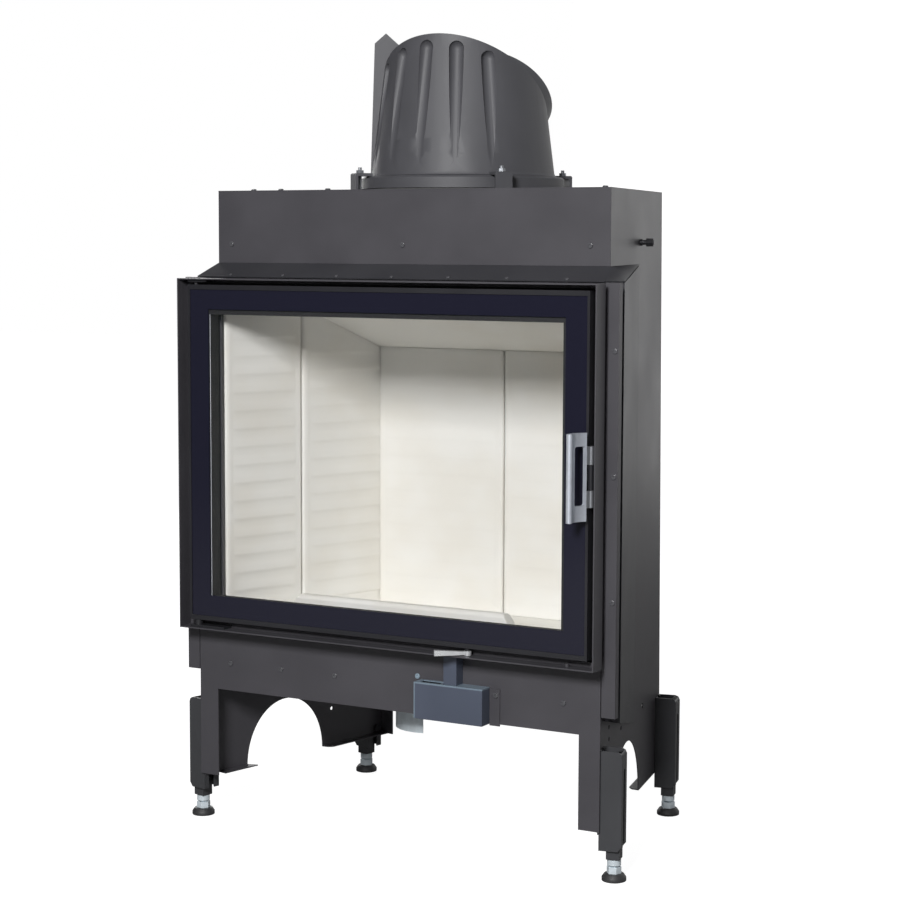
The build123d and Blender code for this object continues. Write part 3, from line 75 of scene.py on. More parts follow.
class Shade:
    """An output socket of a material. Sums and products of it add Math nodes."""

    def __init__(self, tree, socket=None):
        self.tree = tree
        self.socket = socket

    def add(self, kind, settings, sockets, output=0):
        """Adds a node of a kind with its settings, then the values or links of its sockets."""
        node = self.tree.nodes.new("ShaderNode" + kind)
        for name, value in settings.items():
            setattr(node, name, value)
        for name, value in sockets.items():
            if isinstance(value, Shade):
                self.tree.links.new(value.socket, node.inputs[name])
            else:
                node.inputs[name].default_value = value
        return Shade(self.tree, node.outputs[output])

    def maths(self, operation, *values):
        """The result of a Math node for two values, of which one may be a number."""
        return self.add("Math", {"operation": operation}, dict(enumerate(values)))

    def __add__(self, other):
        return self.maths("ADD", self, other)

    def __sub__(self, other):
        return self.maths("SUBTRACT", self, other)

    def __rsub__(self, other):
        return self.maths("SUBTRACT", other, self)

    def __mul__(self, other):
        return self.maths("MULTIPLY", self, other)

    __radd__ = __add__
    __rmul__ = __mul__

    def either(self, other):
        """The larger of two values, so that two masks become one."""
        return self.maths("MAXIMUM", self, other)

    def between(self, low, high):
        """0 at low, 1 at high, with a soft step from one to the other."""
        return self.add("MapRange", {"interpolation_type": "SMOOTHSTEP"},
                        {"Value": self, "From Min": low, "From Max": high})

    def tint(self, first, second):
        """A colour between two, by this value."""
        return self.add("Mix", {"data_type": "RGBA"}, {"Factor": self, 6: first, 7: second}, 2)

    def noise(self, scale, detail):
        """Soft noise that is fixed to the object. The scale is in blotches per metre."""
        place = self.add("TexCoord", {}, {}, "Object")
        return self.add("TexNoise", {}, {"Vector": place, "Scale": scale, "Detail": detail})

    def grain(self, height, strength):
        """A surface normal that follows a height of a few tenths of a millimetre."""
        return self.add("Bump", {}, {"Strength": strength, "Distance": height, "Height": self})


def finish_of(name):
    """A new material, with its surface shader's inputs and a Shade to build on."""
    material = bpy.data.materials.new(name)
    material.use_nodes = True
    tree = material.node_tree
    return material, tree.nodes["Principled BSDF"].inputs, Shade(tree)


def link(shade, socket):
    shade.tree.links.new(shade.socket, socket)


def sprayed_paint(name, colour, roughness, grain):
    """Sprayed paint: a fine sandy grain, soft mottling and slightly uneven gloss."""
    paint, surface, start = finish_of(name)
    clouds = start.noise(scale=7, detail=3)
    sand = start.noise(scale=1100, detail=2)
    lighter = [min(1, c * 1.18 + 0.002) for c in colour] + [1]
    link(clouds.between(0.3, 0.75).tint([*colour, 1], lighter), surface["Base Color"])
    link((clouds - 0.5) * 0.16 + (sand - 0.5) * 0.1 + roughness, surface["Roughness"])
    link(sand.grain(height=0.0002, strength=grain), surface["Normal"])
    return paint


def copied(name, material):
    """A merged copy of a CAD piece, with whole faces instead of loose triangles."""
    bpy.ops.object.select_all(action="DESELECT")
    nodes[name].select_set(True)
    bpy.context.view_layer.objects.active = nodes[name]
    bpy.ops.object.duplicate()
    piece = bpy.context.object
    piece.name = name + "_made"
    del piece["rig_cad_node"]
    piece.data.materials.clear()
    piece.data.materials.append(material)
    bpy.ops.object.mode_set(mode="EDIT")
    bpy.ops.mesh.select_all(action="SELECT")
    bpy.ops.mesh.remove_doubles(threshold=SAME_SPOT)
    bpy.ops.mesh.dissolve_limited(angle_limit=FLAT)
    bpy.ops.object.mode_set(mode="OBJECT")
    return piece


def eased(piece, edge):
    """Rounds a piece's sharp edges and shades the rest of it smooth."""
    bevel = piece.modifiers.new("Edge", "BEVEL")
    bevel.width = edge
    bevel.segments = 2
    bevel.limit_method = "ANGLE"
    bevel.angle_limit = SHARP
    bpy.ops.object.modifier_apply(modifier=bevel.name)
    bpy.ops.object.shade_smooth_by_angle(angle=SMOOTH)
    even = piece.modifiers.new("Even", "WEIGHTED_NORMAL")
    even.keep_sharp = True
    even.weight = 100
    bpy.ops.object.modifier_apply(modifier=even.name)
    return piece


def stand_in(piece, name):
    """Lets a piece stand for a CAD node, on the same body."""
    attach(piece, nodes[name]["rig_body"])
    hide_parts(name)


def refined(name, material, edge):
    """A copy of a CAD piece with its sharp edges rounded, which stands for that piece."""
    stand_in(eased(copied(name, material), edge), name)


casing_paint = sprayed_paint("casing_paint", (0.052, 0.050, 0.057), roughness=0.46, grain=0.25)
for name in ("side_panel_left", "side_panel_right", "back_panel", "top_plate",
             "upper_front_panel", "corner_rail_left", "corner_rail_right",
             "base_front_panel", "outer_frame"):
    refined(name, casing_paint, SHEET_EDGE)

# A darker copy of the casing paint, which is painted shade on the strip and the jackets.
shaded_casing_paint = sprayed_paint("shaded_casing_paint", (0.034, 0.034, 0.039), roughness=0.52, grain=0.25)
for name in ("roof_strip", "side_jacket_left", "side_jacket_right"):
    refined(name, shaded_casing_paint, SHEET_EDGE)

# ---------------------------------------------------------------- casing screws
# Small button-head screws with a socket, in a glossier grey than the casing, painted a
# little lighter as painted highlight. One is modelled and copied to the place of each screw.
HEAD_RADIUS = 0.0045
HEAD_HEIGHT = 0.0025
HEAD_RIM = 0.0007               # width of the sloping rim round the head's face
HEAD_CROWN = 0.0003             # rise of the rim, and again of the face inside it
SOCKET_RADIUS = 0.0017
SOCKET_DEPTH = 0.0016
SOCKET_TAPER = 0.8
FINE_EDGE = 0.0003              # width of the rounding along the edges of small parts
QUARTER_TURN = math.radians(90)


def pick(piece, kind, test):
    """Goes into edit mode with the vertices or faces selected that pass a test."""
    bpy.context.view_layer.objects.active = piece
    bpy.ops.object.mode_set(mode="EDIT")
    bpy.ops.mesh.select_mode(type=kind)
    bpy.ops.mesh.select_all(action="DESELECT")
    bpy.ops.object.mode_set(mode="OBJECT")
    for item in piece.data.vertices if kind == "VERT" else piece.data.polygons:
        item.select = test(item)
    bpy.ops.object.mode_set(mode="EDIT")


def round_blank(radius, height, sides):
    """A round blank that stands on the origin, in edit mode with its upper face selected."""
    bpy.ops.object.select_all(action="DESELECT")
    bpy.ops.mesh.primitive_cylinder_add(vertices=sides, radius=radius, depth=height,
                                        location=(0, 0, height / 2))
    blank = bpy.context.object
    bpy.ops.object.transform_apply(location=True, rotation=True, scale=True)
    pick(blank, "FACE", lambda face: face.normal.z > 0.9)
    return blank


def raised(rim, rise):
    """Draws the selected face in and lifts it."""
    bpy.ops.mesh.inset(thickness=rim)
    bpy.ops.transform.translate(value=(0, 0, rise))


def spread(pattern, places, name):
    """Copies a small part to each of the places, which are matrices, and joins the copies."""
    copies = []
    for place in places:
        one = pattern.copy()
        one.data = pattern.data.copy()
        bpy.context.collection.objects.link(one)
        one.matrix_world = place
        copies.append(one)
    bpy.ops.object.select_all(action="DESELECT")
    for one in copies:
        one.select_set(True)
    bpy.context.view_layer.objects.active = copies[0]
    bpy.ops.object.join()
    copies[0].name = name
    bpy.ops.object.transform_apply(location=True, rotation=True, scale=True)
    return copies[0]


# The lighter colour is painted highlight, and the lower roughness is real gloss.
screw_paint = sprayed_paint("screw_paint", (0.075, 0.075, 0.082), roughness=0.24, grain=0.1)
screw = round_blank(HEAD_RADIUS, HEAD_HEIGHT, sides=20)
raised(HEAD_RIM, HEAD_CROWN)
raised(HEAD_RADIUS - HEAD_RIM - SOCKET_RADIUS, HEAD_CROWN)
bpy.ops.mesh.extrude_region_move(TRANSFORM_OT_translate={"value": (0, 0, -SOCKET_DEPTH)})
bpy.ops.transform.resize(value=(SOCKET_TAPER, SOCKET_TAPER, 1))
pick(screw, "VERT", lambda v: v.co.z > SAME_SPOT)
bpy.ops.transform.translate(value=(0, 0, -2 * HEAD_CROWN))
bpy.ops.object.mode_set(mode="OBJECT")
screw.data.materials.append(screw_paint)

copied("casing_screws", screw_paint)
bpy.ops.object.mode_set(mode="EDIT")
bpy.ops.mesh.select_all(action="SELECT")
bpy.ops.mesh.separate(type="LOOSE")
bpy.ops.object.mode_set(mode="OBJECT")
places = []
for solid in bpy.context.selected_objects:
    low = Vector(map(min, *(v.co for v in solid.data.vertices)))
    high = Vector(map(max, *(v.co for v in solid.data.vertices)))
    spot = (low + high) / 2
    # The screws in the top sheet stand upright. The others point to the front.
    upright = high.z - low.z < HEAD_RADIUS * 1.5
    if upright:
        spot.z = high.z - HEAD_HEIGHT
    else:
        spot.y = low.y + HEAD_HEIGHT
    turn = Matrix.Rotation(0 if upright else QUARTER_TURN, 4, "X")
    places.append(Matrix.Translation(spot) @ turn)
    bpy.data.objects.remove(solid)
screws = spread(screw, places, "casing_screws_made")
stand_in(eased(screws, FINE_EDGE), "casing_screws")

# ---------------------------------------------------------------- strip rivets
# A row of small flat rivets in the screws' colour holds the sloping strip along its
# lower edge. One is modelled and copied along the row.
RIVET_RADIUS = 0.003
RIVET_HEIGHT = 0.0014
RIVET_RIM = 0.001
RIVET_CROWN = 0.0005
RIVET_COUNT = 7
RIVET_PITCH = 0.105
RIVET_UP = 0.0045               # up the slope from its lower edge
STRIP_SLOPE = math.radians(25.8)
STRIP_LIFT = 0.0022             # from the sheet's lowest edge to its upper face
rivet = round_blank(RIVET_RADIUS, RIVET_HEIGHT, sides=16)
raised(RIVET_RIM, RIVET_CROWN)
bpy.ops.object.mode_set(mode="OBJECT")
rivet.data.materials.append(screw_paint)
tilt = Matrix.Rotation(STRIP_SLOPE, 4, "X")
up = Vector((0, math.cos(STRIP_SLOPE), math.sin(STRIP_SLOPE))) * RIVET_UP
low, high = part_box("roof_strip")
row = [Matrix.Translation(Vector(((k - RIVET_COUNT // 2) * RIVET_PITCH, low.y,
                                  low.z + STRIP_LIFT)) + up) @ tilt
       for k in range(RIVET_COUNT)]
rivets = eased(spread(rivet, row, "strip_rivets"), FINE_EDGE)
bpy.data.objects.remove(rivet)
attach(rivets, "casing")

# ---------------------------------------------------------------- firebox
# The firebox stands inside the casing, with its mouth behind the door. It is welded
# from thicker plate and painted like the casing.
PLATE_EDGE = 0.001
refined("firebox_shell", casing_paint, PLATE_EDGE)


# ---------------------------------------------------------------- linings
# Pale refractory boards line the firebox. The side boards have shallow level ripples,
# the back boards only a trace of them, and the hearth, the log stop and the baffle are
# cast plain from the same mix.
def fired_clay(name, colour):
    """Pale refractory board: fine grit and faint clouds."""
    clay, surface, start = finish_of(name)
    clouds = start.noise(scale=9, detail=4)
    grit = start.noise(scale=420, detail=4)
    warm = [c * k for c, k in zip(colour, (0.95, 0.935, 0.91))]
    link(clouds.between(0.35, 0.7).tint([*colour, 1], [*warm, 1]), surface["Base Color"])
    link(grit * 0.1 + 0.8, surface["Roughness"])
    link(grit.grain(height=0.0006, strength=0.3), surface["Normal"])
    return clay


clay = fired_clay("pale_lining", (0.87, 0.86, 0.825))
BOARD_EDGE = 0.002
RIPPLE = 0.031                  # from one ripple to the next
# How proud the surface stands, at these distances below a ripple's lower edge.
RIPPLE_FORM = ((0, 0.0026), (0.0045, 0.0019), (0.0105, 0), (0.021, 0.0012))
RIPPLE_START = 0.030            # from the board's ends to the first and last ripple
BORDER = 0.009                  # flat border round the ripples
GROOVE = 0.003                  # width of the groove inside the border
GROOVE_DEPTH = 0.0012
FADE = 0.012                    # the ripples run out over this width
ON_LINE = 0.0001                # points this close to a cut belong to it
BACK_JOINT = 0.994              # the boards are a little narrower, which opens their joints
SIDE_JOINT = 0.987


def rippled(name, inward, swelling):
    """A board with level ripples inside a plain border, on the face that looks inward.
    Each ripple swells towards its lower edge, which stands proud of the next one."""
    board = copied(name, clay)
    board.data.materials.append(clay)
    low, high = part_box(name)
    pick(board, "VERT", lambda v: True)
    narrower = (1, SIDE_JOINT, 1) if abs(inward.x) > 0.5 else (BACK_JOINT, 1, 1)
    bpy.ops.transform.resize(value=narrower, center_override=(low + high) / 2)
    bpy.ops.object.mode_set(mode="OBJECT")
    faces = board.data.polygons
    inner = max(range(len(faces)), key=lambda k: faces[k].normal.dot(inward) * faces[k].area)
    out = faces[inner].normal.copy()
    pick(board, "FACE", lambda face: face.index == inner)
    bpy.ops.mesh.inset(thickness=BORDER)
    bpy.ops.mesh.inset(thickness=GROOVE, depth=-GROOVE_DEPTH)
    bpy.ops.mesh.inset(thickness=FADE)
    # The second material only marks the rippled field while the board is cut.
    board.active_material_index = 1
    bpy.ops.object.material_slot_assign()
    start = low.z + RIPPLE_START
    for k in range(int((high.z - RIPPLE_START - start) / RIPPLE)):
        for below, _ in RIPPLE_FORM:
            level = start + k * RIPPLE - below
            bpy.ops.mesh.select_all(action="SELECT")
            bpy.ops.mesh.bisect(plane_co=(0, 0, level), plane_no=(0, 0, 1))
    for below, swell in RIPPLE_FORM:
        bpy.ops.object.mode_set(mode="OBJECT")
        field = {v for face in faces if face.material_index == 1 for v in face.vertices}

        def on_line(v):
            step = (v.co.z + below - start) / RIPPLE
            return v.index in field and abs(step - round(step)) * RIPPLE < ON_LINE

        pick(board, "VERT", on_line)
        bpy.ops.transform.translate(value=out * swell * swelling)
    bpy.ops.object.mode_set(mode="OBJECT")
    for face in faces:
        face.material_index = 0
    bpy.ops.object.material_slot_remove()
    stand_in(eased(board, BOARD_EDGE), name)


# The side boards come closer together towards the back, so they face a little forwards.
for name in ("front_side_lining_left", "rear_side_lining_left"):
    rippled(name, Vector((1, -0.3, 0)), swelling=1)
for name in ("front_side_lining_right", "rear_side_lining_right"):
    rippled(name, Vector((-1, -0.3, 0)), swelling=1)
for name in ("back_lining_left", "back_lining_right"):
    rippled(name, Vector((0, -1, 0)), swelling=0.3)
for name in ("hearth_slab", "log_stop", "baffle"):
    refined(name, clay, BOARD_EDGE)

# ---------------------------------------------------------------- flue dome
# The dome is one iron casting, matt grey, with flutes, a box rib and a round neck.
# The last flute on the right is cut here, like its neighbours.
CAST_EDGE = 0.001
DOME_AXIS = 0.172               # behind the front of the base flange
FLUTE_TURN = math.radians(47)   # from the front, towards the right
FLUTE_RADIUS = 0.0125
FLUTE_HEAD = (0.1334, 1.2968)   # distance from the axis and height of its upper end
FLUTE_FOOT = (0.1655, 1.130)


def on_dome(distance, height):
    """A spot on the flute's line, by its distance from the dome's axis and its height."""
    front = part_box("flue_dome")[0].y
    return Vector((distance * math.sin(FLUTE_TURN),
                   front + DOME_AXIS - distance * math.cos(FLUTE_TURN), height))


def carved(piece, cutter):
    """Cuts the shape of a cutter out of a piece, and takes the cutter away."""
    bpy.context.view_layer.objects.active = piece
    cut = piece.modifiers.new("Cut", "BOOLEAN")
    cut.object = cutter
    cut.solver = "EXACT"
    bpy.ops.object.modifier_apply(modifier=cut.name)
    bpy.data.objects.remove(cutter)
    return piece


dome_paint = sprayed_paint("cast_dome", (0.060, 0.060, 0.067), roughness=0.56, grain=0.5)
head, foot = on_dome(*FLUTE_HEAD), on_dome(*FLUTE_FOOT)
bpy.ops.object.select_all(action="DESELECT")
bpy.ops.mesh.primitive_uv_sphere_add(segments=32, ring_count=16, radius=FLUTE_RADIUS)
cutter = bpy.context.object
pick(cutter, "VERT", lambda v: v.co.z < -SAME_SPOT)
bpy.ops.transform.translate(value=(0, 0, -(head - foot).length))
bpy.ops.object.mode_set(mode="OBJECT")
cutter.rotation_mode = "QUATERNION"
cutter.rotation_quaternion = (head - foot).to_track_quat("Z", "Y")
cutter.location = head
bpy.ops.object.transform_apply(location=True, rotation=True, scale=True)
dome = carved(copied("flue_dome", dome_paint), cutter)
stand_in(eased(dome, CAST_EDGE), "flue_dome")


# ---------------------------------------------------------------- dome clamps
# Clamps of bent strap in the dome's colour hold its flange down. A stud with a nut of
# dull plated steel tightens each.
def metal(name, colour, roughness, metallic):
    """Bare or plated metal with faint uneven gloss."""
    steel, surface, start = finish_of(name)
    patches = start.noise(scale=60, detail=3)
    darker = [c * 0.85 for c in colour] + [1]
    link(patches.between(0.3, 0.7).tint([*colour, 1], darker), surface["Base Color"])
    link((patches - 0.5) * 0.2 + roughness, surface["Roughness"])
    surface["Metallic"].default_value = metallic
    return steel


STRAP_EDGE = 0.0006
dull = metal("dull_steel", (0.26, 0.27, 0.29), roughness=0.45, metallic=0.6)
refined("dome_clamps", dome_paint, STRAP_EDGE)
refined("clamp_studs", dull, FINE_EDGE)

# ---------------------------------------------------------------- air collar
# A galvanised collar under the floor takes the air pipe, with a damper disc inside. The
# notch in its lip reaches round to the right, out of the camera's sight.
NOTCH_SIZE = (0.05, 0.045, 0.07)    # of the cutter, whose upper half cuts the lip
NOTCH_PLACE = (-0.02, 0.018)        # from the collar's right side, and behind its middle
zinc = metal("zinc_steel", (0.76, 0.84, 0.89), roughness=0.5, metallic=0.3)
refined("air_damper", zinc, FINE_EDGE)
low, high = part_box("air_spigot")
bpy.ops.object.select_all(action="DESELECT")
bpy.ops.mesh.primitive_cube_add(size=1)
cutter = bpy.context.object
cutter.scale = NOTCH_SIZE
cutter.location = (high.x + NOTCH_PLACE[0], (low.y + high.y) / 2 + NOTCH_PLACE[1], low.z)
bpy.ops.object.transform_apply(location=True, rotation=True, scale=True)
collar = carved(copied("air_spigot", zinc), cutter)
stand_in(eased(collar, FINE_EDGE), "air_spigot")

# ---------------------------------------------------------------- legs and feet
# Each leg is a painted channel with a long slot, bolted to the casing, with a square
# socket at its foot. A zinc-plated spindle in the socket carries a black disc.
FASTENER_EDGE = 0.0004
DISC_EDGE = 0.001
leg_paint = sprayed_paint("leg_paint", (0.04, 0.041, 0.045), roughness=0.42, grain=0.25)
foot_black = sprayed_paint("foot_black", (0.03, 0.03, 0.032), roughness=0.55, grain=0.1)
screw_black = metal("black_fasteners", (0.05, 0.05, 0.055), roughness=0.4, metallic=0.6)
for end in ("front", "rear"):
    for side in ("left", "right"):
        refined(f"{end}_leg_channel_{side}", leg_paint, SHEET_EDGE)
        refined(f"{end}_foot_socket_{side}", leg_paint, SHEET_EDGE)
        refined(f"{end}_foot_spindle_{side}", zinc, FINE_EDGE)
        refined(f"{end}_foot_disc_{side}", foot_black, DISC_EDGE)
refined("leg_bolts", screw_black, FASTENER_EDGE)

# ---------------------------------------------------------------- side stud
# A short stud of black steel stands out of the casing's upper right side. It has a
# collar at its foot and a nut near its end.
refined("side_stud", screw_black, FASTENER_EDGE)

# ---------------------------------------------------------------- control box
# The air control's box below the door is blue-black painted sheet, with a painted highlight
# along its left and upper edges. It hangs on a neck, and a small screw sits beside its
# upper left corner.
CONTROL_BLUE = (0.066, 0.078, 0.110)
# Colour of the painted highlight along the box's left and upper edges.
HIGHLIGHT_BLUE = (0.17, 0.22, 0.27, 1)
HIGHLIGHT_WIDTH = 0.0016                 # width of the painted highlight, and again of its soft edge
BOX_EDGE = 0.0006
SCREW_LEFT = 0.007              # from that corner
SCREW_ABOVE = 0.004


def overlaid(material, colour, mask):
    """Lays a painted highlight or a painted dark reflection over a finish, by a mask that is
    worked out from X and Z.
    """
    surface = material.node_tree.nodes["Principled BSDF"].inputs
    under = Shade(material.node_tree, surface["Base Color"].links[0].from_socket)
    place = under.add("TexCoord", {}, {}, "Object")
    x, z = [under.add("SeparateXYZ", {}, {"Vector": place}, axis) for axis in "XZ"]
    link(mask(x, z).tint(under, colour), surface["Base Color"])


def highlighted_edges(x, z):
    """1 along the box's left and upper edges, which get a painted highlight, 0 elsewhere."""
    left = 1 - x.between(low.x + HIGHLIGHT_WIDTH, low.x + 2 * HIGHLIGHT_WIDTH)
    return left.either(z.between(high.z - 2 * HIGHLIGHT_WIDTH, high.z - HIGHLIGHT_WIDTH))


control_paint = sprayed_paint("control_box", CONTROL_BLUE, roughness=0.35, grain=0.1)
highlighted_paint = sprayed_paint("control_box_highlighted", CONTROL_BLUE, roughness=0.35, grain=0.1)
# The small screw beside the box is painted a light blue grey.
box_screw_paint = sprayed_paint("box_screw_light_blue", (0.20, 0.26, 0.31), roughness=0.3, grain=0.1)
low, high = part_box("air_box")
# Paints the highlight along the box's left and upper edges.
overlaid(highlighted_paint, HIGHLIGHT_BLUE, highlighted_edges)
refined("air_box", highlighted_paint, BOX_EDGE)
refined("air_neck", control_paint, SHEET_EDGE)
beside = Matrix.Translation((low.x - SCREW_LEFT, high.y, high.z + SCREW_ABOVE))
box_screw = spread(screw, [beside @ Matrix.Rotation(QUARTER_TURN, 4, "X")], "box_screw")
box_screw.data.materials[0] = box_screw_paint
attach(eased(box_screw, FINE_EDGE), "casing")
bpy.data.objects.remove(screw)

# ---------------------------------------------------------------- air lever
# The lever that sets the air is a small arm of bright steel, which grows taller towards
# its end. It turns on a black pivot screw on the surround's lower flange.
bright = metal("bright_steel", (0.88, 0.89, 0.91), roughness=0.3, metallic=0.6)
refined("air_lever", bright, FASTENER_EDGE)
refined("lever_pivot", screw_black, FASTENER_EDGE)

# ---------------------------------------------------------------- door
# A satin black steel rim on hinge brackets, with an inner frame behind the glass. The
# frame's opening is a little smaller here, so that it shows inside the printed border,
# and on the left its front carries a painted highlight.
OPENING_SIDE = 0.3360           # half the width of the inner frame's opening
OPENING_TOP = 0.8870            # height of its upper edge
SHOWING_LEFT = 0.003            # how far each edge of the opening is moved inwards
SHOWING_RIGHT = 0.009
SHOWING_TOP = 0.0115
NEAR = 0.0008                   # points this close to an edge are moved with it
FRONT_DEPTH = 0.001             # faces this close to the frame's front belong to it
FRAME_EDGE = 0.0006
door_paint = sprayed_paint("door_paint", (0.016, 0.016, 0.019), roughness=0.35, grain=0.15)
for name in ("door_frame", "hinge_brackets", "handle_pin"):
    refined(name, door_paint, SHEET_EDGE)

frame_black = sprayed_paint("frame_black", (0.012, 0.012, 0.014), roughness=0.75, grain=0.3)
edge_highlight = sprayed_paint("frame_edge_highlight", (0.62, 0.64, 0.70), roughness=0.4, grain=0.1)
inner_frame = copied("inner_door_frame", frame_black)
pick(inner_frame, "VERT", lambda v: abs(v.co.x + OPENING_SIDE) < NEAR)
bpy.ops.transform.translate(value=(SHOWING_LEFT, 0, 0))
pick(inner_frame, "VERT", lambda v: abs(v.co.x - OPENING_SIDE) < NEAR)
bpy.ops.transform.translate(value=(-SHOWING_RIGHT, 0, 0))
pick(inner_frame, "VERT", lambda v: abs(v.co.z - OPENING_TOP) < NEAR)
bpy.ops.transform.translate(value=(0, 0, -SHOWING_TOP))
bpy.ops.object.mode_set(mode="OBJECT")
eased(inner_frame, FRAME_EDGE)
inner_frame.data.materials.append(edge_highlight)
low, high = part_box("inner_door_frame")
# The front faces at the opening's left edge get the painted highlight.
for face in inner_frame.data.polygons:
    forward = face.normal.y < -0.25 and face.center.y < low.y + FRONT_DEPTH
    face.material_index = int(forward and face.center.x < -OPENING_SIDE + SHOWING_LEFT)
stand_in(inner_frame, "inner_door_frame")

# ---------------------------------------------------------------- door glass
# A clear ceramic pane with a black printed border. The print has no thickness of its
# own and lies on the pane's front.
PRINT_SIDE = 0.0382             # width of the border at the sides and below
PRINT_TOP = 0.0356              # and above
PRINT_LIFT = 0.0002             # in front of the glass
pane, surface, start = finish_of("door_glass")
surface["Base Color"].default_value = (0.03, 0.04, 0.04, 1)
surface["Roughness"].default_value = 0.02
surface["Alpha"].default_value = 0.06
nodes["door_glass"].material_slots[0].material = pane

print_black, surface, start = finish_of("glass_print")
surface["Base Color"].default_value = (0.012, 0.012, 0.023, 1)
surface["Roughness"].default_value = 0.06
surface["Specular IOR Level"].default_value = 0.35
low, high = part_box("door_glass")
centre = (low + high) / 2
bpy.ops.object.select_all(action="DESELECT")
bpy.ops.mesh.primitive_plane_add(size=1, location=(centre.x, low.y - PRINT_LIFT, centre.z),
                                 rotation=(QUARTER_TURN, 0, 0))
border = bpy.context.object
border.name = "glass_print"
border.scale = (high.x - low.x, high.z - low.z, 1)
bpy.ops.object.transform_apply(location=True, rotation=True, scale=True)
bpy.ops.object.mode_set(mode="EDIT")
bpy.ops.mesh.select_all(action="SELECT")
bpy.ops.mesh.inset(thickness=PRINT_SIDE)
bpy.ops.mesh.delete(type="FACE")
pick(border, "VERT", lambda v: abs(high.z - PRINT_SIDE - v.co.z) < NEAR)
bpy.ops.transform.translate(value=(0, 0, PRINT_SIDE - PRINT_TOP))
bpy.ops.object.mode_set(mode="OBJECT")
border.data.materials.append(print_black)
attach(border, "door")

# ---------------------------------------------------------------- handle and latch
# The handle is a bowed plate of satin metal on the door's edge, with a painted dark
# reflection that darkens it towards the right. Its hooks of dull steel catch black keepers
# on the casing.
HANDLE_EDGE = 0.0012
HANDLE_DARK_REFLECTION = (0.10, 0.11, 0.14, 1)
DARK_REFLECTION_SHARE = 0.2
satin = metal("handle_metal", (0.70, 0.74, 0.82), roughness=0.4, metallic=0.6)
low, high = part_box("door_handle")
# Paints the dark reflection, which grows towards the right.
overlaid(satin, HANDLE_DARK_REFLECTION, lambda x, z: x.between(low.x, high.x) * DARK_REFLECTION_SHARE)
refined("door_handle", satin, HANDLE_EDGE)
refined("latch_hooks", dull, FINE_EDGE)
refined("latch_keepers", screw_black, FASTENER_EDGE)

# ---------------------------------------------------------------- rope seals
# Dark glass-fibre rope seals the door against the firebox, and the dome against the
# casing. Little of it shows.
ROPE_EDGE = 0.001
rope = sprayed_paint("rope_seal", (0.06, 0.06, 0.06), roughness=0.9, grain=0.8)
for name in ("door_gasket", "dome_gasket"):
    refined(name, rope, ROPE_EDGE)

# ---------------------------------------------------------------- studio
# White floor and backdrop, with the camera where the photographer stood. The key lamp
# stands at the front right and a weak one at the right. A third one behind at the left
# only lights the sides that the camera doesn't see.
FOCAL_LENGTH = 86.106           # millimetres, on a film 36 mm wide
CAMERA_SIDE, CAMERA_BACK, CAMERA_HEIGHT = 1.7895, 2.93424, 0.99849
CAMERA_TURN, CAMERA_DIP, CAMERA_ROLL = 29.379, 5.534, 0.194     # degrees
front_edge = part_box("outer_frame")[0].y
bpy.ops.object.camera_add()
camera = bpy.context.object
camera.data.lens = FOCAL_LENGTH
camera.data.sensor_width = 36
aim = (Matrix.Rotation(math.radians(CAMERA_TURN), 4, "Z")
       @ Matrix.Rotation(math.radians(90 - CAMERA_DIP), 4, "X")
       @ Matrix.Rotation(math.radians(CAMERA_ROLL), 4, "Z"))
stand = Matrix.Translation((CAMERA_SIDE, front_edge - CAMERA_BACK, CAMERA_HEIGHT))
camera.matrix_world = stand @ aim
bpy.context.scene.camera = camera

# The floor is off-white near the object and white away from it, and only to the camera.
FLOOR_WHITE = 0.93
FLOOR_FADE = (0.8, 2.2)         # from the middle, where it turns from one to the other
bpy.ops.mesh.primitive_plane_add(size=30, location=(0, 0, -0.0005))
floor = bpy.context.object
floor.name = "floor"
paper, surface, start = finish_of("paper")
surface["Base Color"].default_value = (0.35, 0.35, 0.35, 1)
surface["Roughness"].default_value = 1
surface["Specular IOR Level"].default_value = 0
place = start.add("TexCoord", {}, {}, "Object")
away = start.add("VectorMath", {"operation": "LENGTH"}, {0: place}, "Value")
near_white = (FLOOR_WHITE, FLOOR_WHITE, FLOOR_WHITE, 1)
link(away.between(*FLOOR_FADE).tint(near_white, (1, 1, 1, 1)), surface["Emission Color"])
link(start.add("LightPath", {}, {}, "Is Camera Ray"), surface["Emission Strength"])
floor.data.materials.append(paper)

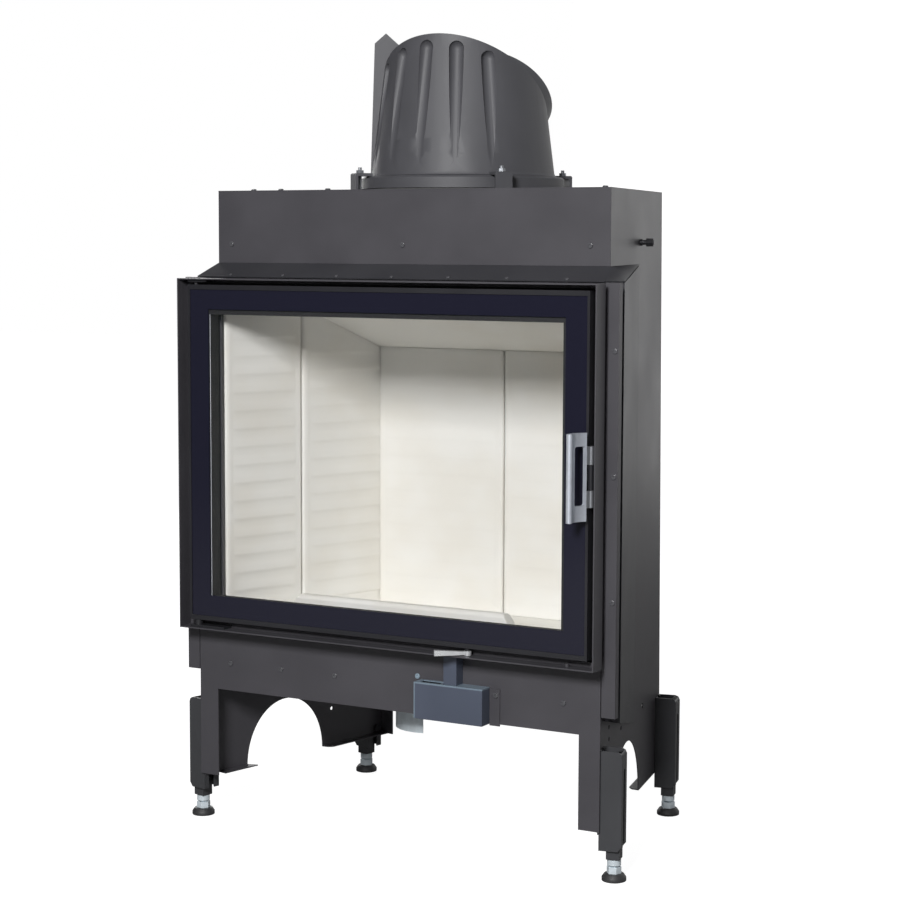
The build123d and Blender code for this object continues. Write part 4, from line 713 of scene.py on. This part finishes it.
# The backdrop stands behind the object and runs round to its right. It is white to
# the camera, and metal and glass show it too.
BACKDROP_SIZE = (9, 4.5, 1)
BACKDROP_PLACE = (1.5, 4.5, 2.2)
BACKDROP_TURN = math.radians(-20)
bpy.ops.mesh.primitive_plane_add(size=1, location=(0, 0, 0))
backdrop = bpy.context.object
backdrop.name = "backdrop"
backdrop.scale = BACKDROP_SIZE
backdrop.rotation_euler = (QUARTER_TURN, 0, BACKDROP_TURN)
backdrop.location = BACKDROP_PLACE
bpy.ops.object.transform_apply(location=True, rotation=True, scale=True)
screen, surface, start = finish_of("screen")
surface["Base Color"].default_value = (0.65, 0.65, 0.65, 1)
surface["Roughness"].default_value = 1
surface["Emission Color"].default_value = (1, 1, 1, 1)
seen, mirrored, through = [start.add("LightPath", {}, {}, kind) for kind in
                           ("Is Camera Ray", "Is Glossy Ray", "Is Transmission Ray")]
link(seen.either(mirrored).either(through), surface["Emission Strength"])
backdrop.data.materials.append(screen)

# The room is dim, and dimmer towards the left.
ROOM_LIGHT = 0.20
ROOM_SHADE = 0.05
world = bpy.data.worlds.new("studio")
bpy.context.scene.world = world
world.use_nodes = True
sky = Shade(world.node_tree)
background = world.node_tree.nodes["Background"].inputs
background["Color"].default_value = (1, 1, 1, 1)
way = sky.add("TexCoord", {}, {}, "Generated")
rightwards = sky.add("SeparateXYZ", {}, {"Vector": way}, "X")
ambient = rightwards.between(-0.5, 0.7) * (ROOM_LIGHT - ROOM_SHADE) + ROOM_SHADE
link(ambient.either(sky.add("LightPath", {}, {}, "Is Camera Ray")), background["Strength"])


def softbox(name, place, aim_at, size, power):
    """A square studio lamp that points at a spot."""
    bpy.ops.object.light_add(type="AREA", location=place)
    lamp = bpy.context.object
    lamp.name = name
    lamp.data.shape = "SQUARE"
    lamp.data.size = size
    lamp.data.energy = power
    lamp.rotation_mode = "QUATERNION"
    lamp.rotation_quaternion = (Vector(aim_at) - Vector(place)).to_track_quat("-Z", "Y")


softbox("key", (0.95, -3.8, 2.4), (0, 0, 0.7), size=0.9, power=188)
softbox("side", (4.0, 1.0, 1.8), (0.4, 0, 0.7), size=1.6, power=2)
softbox("rear", (-3.2, 2.6, 1.8), (0, 0, 0.7), size=1.6, power=60)

bpy.context.scene.view_settings.view_transform = "Standard"
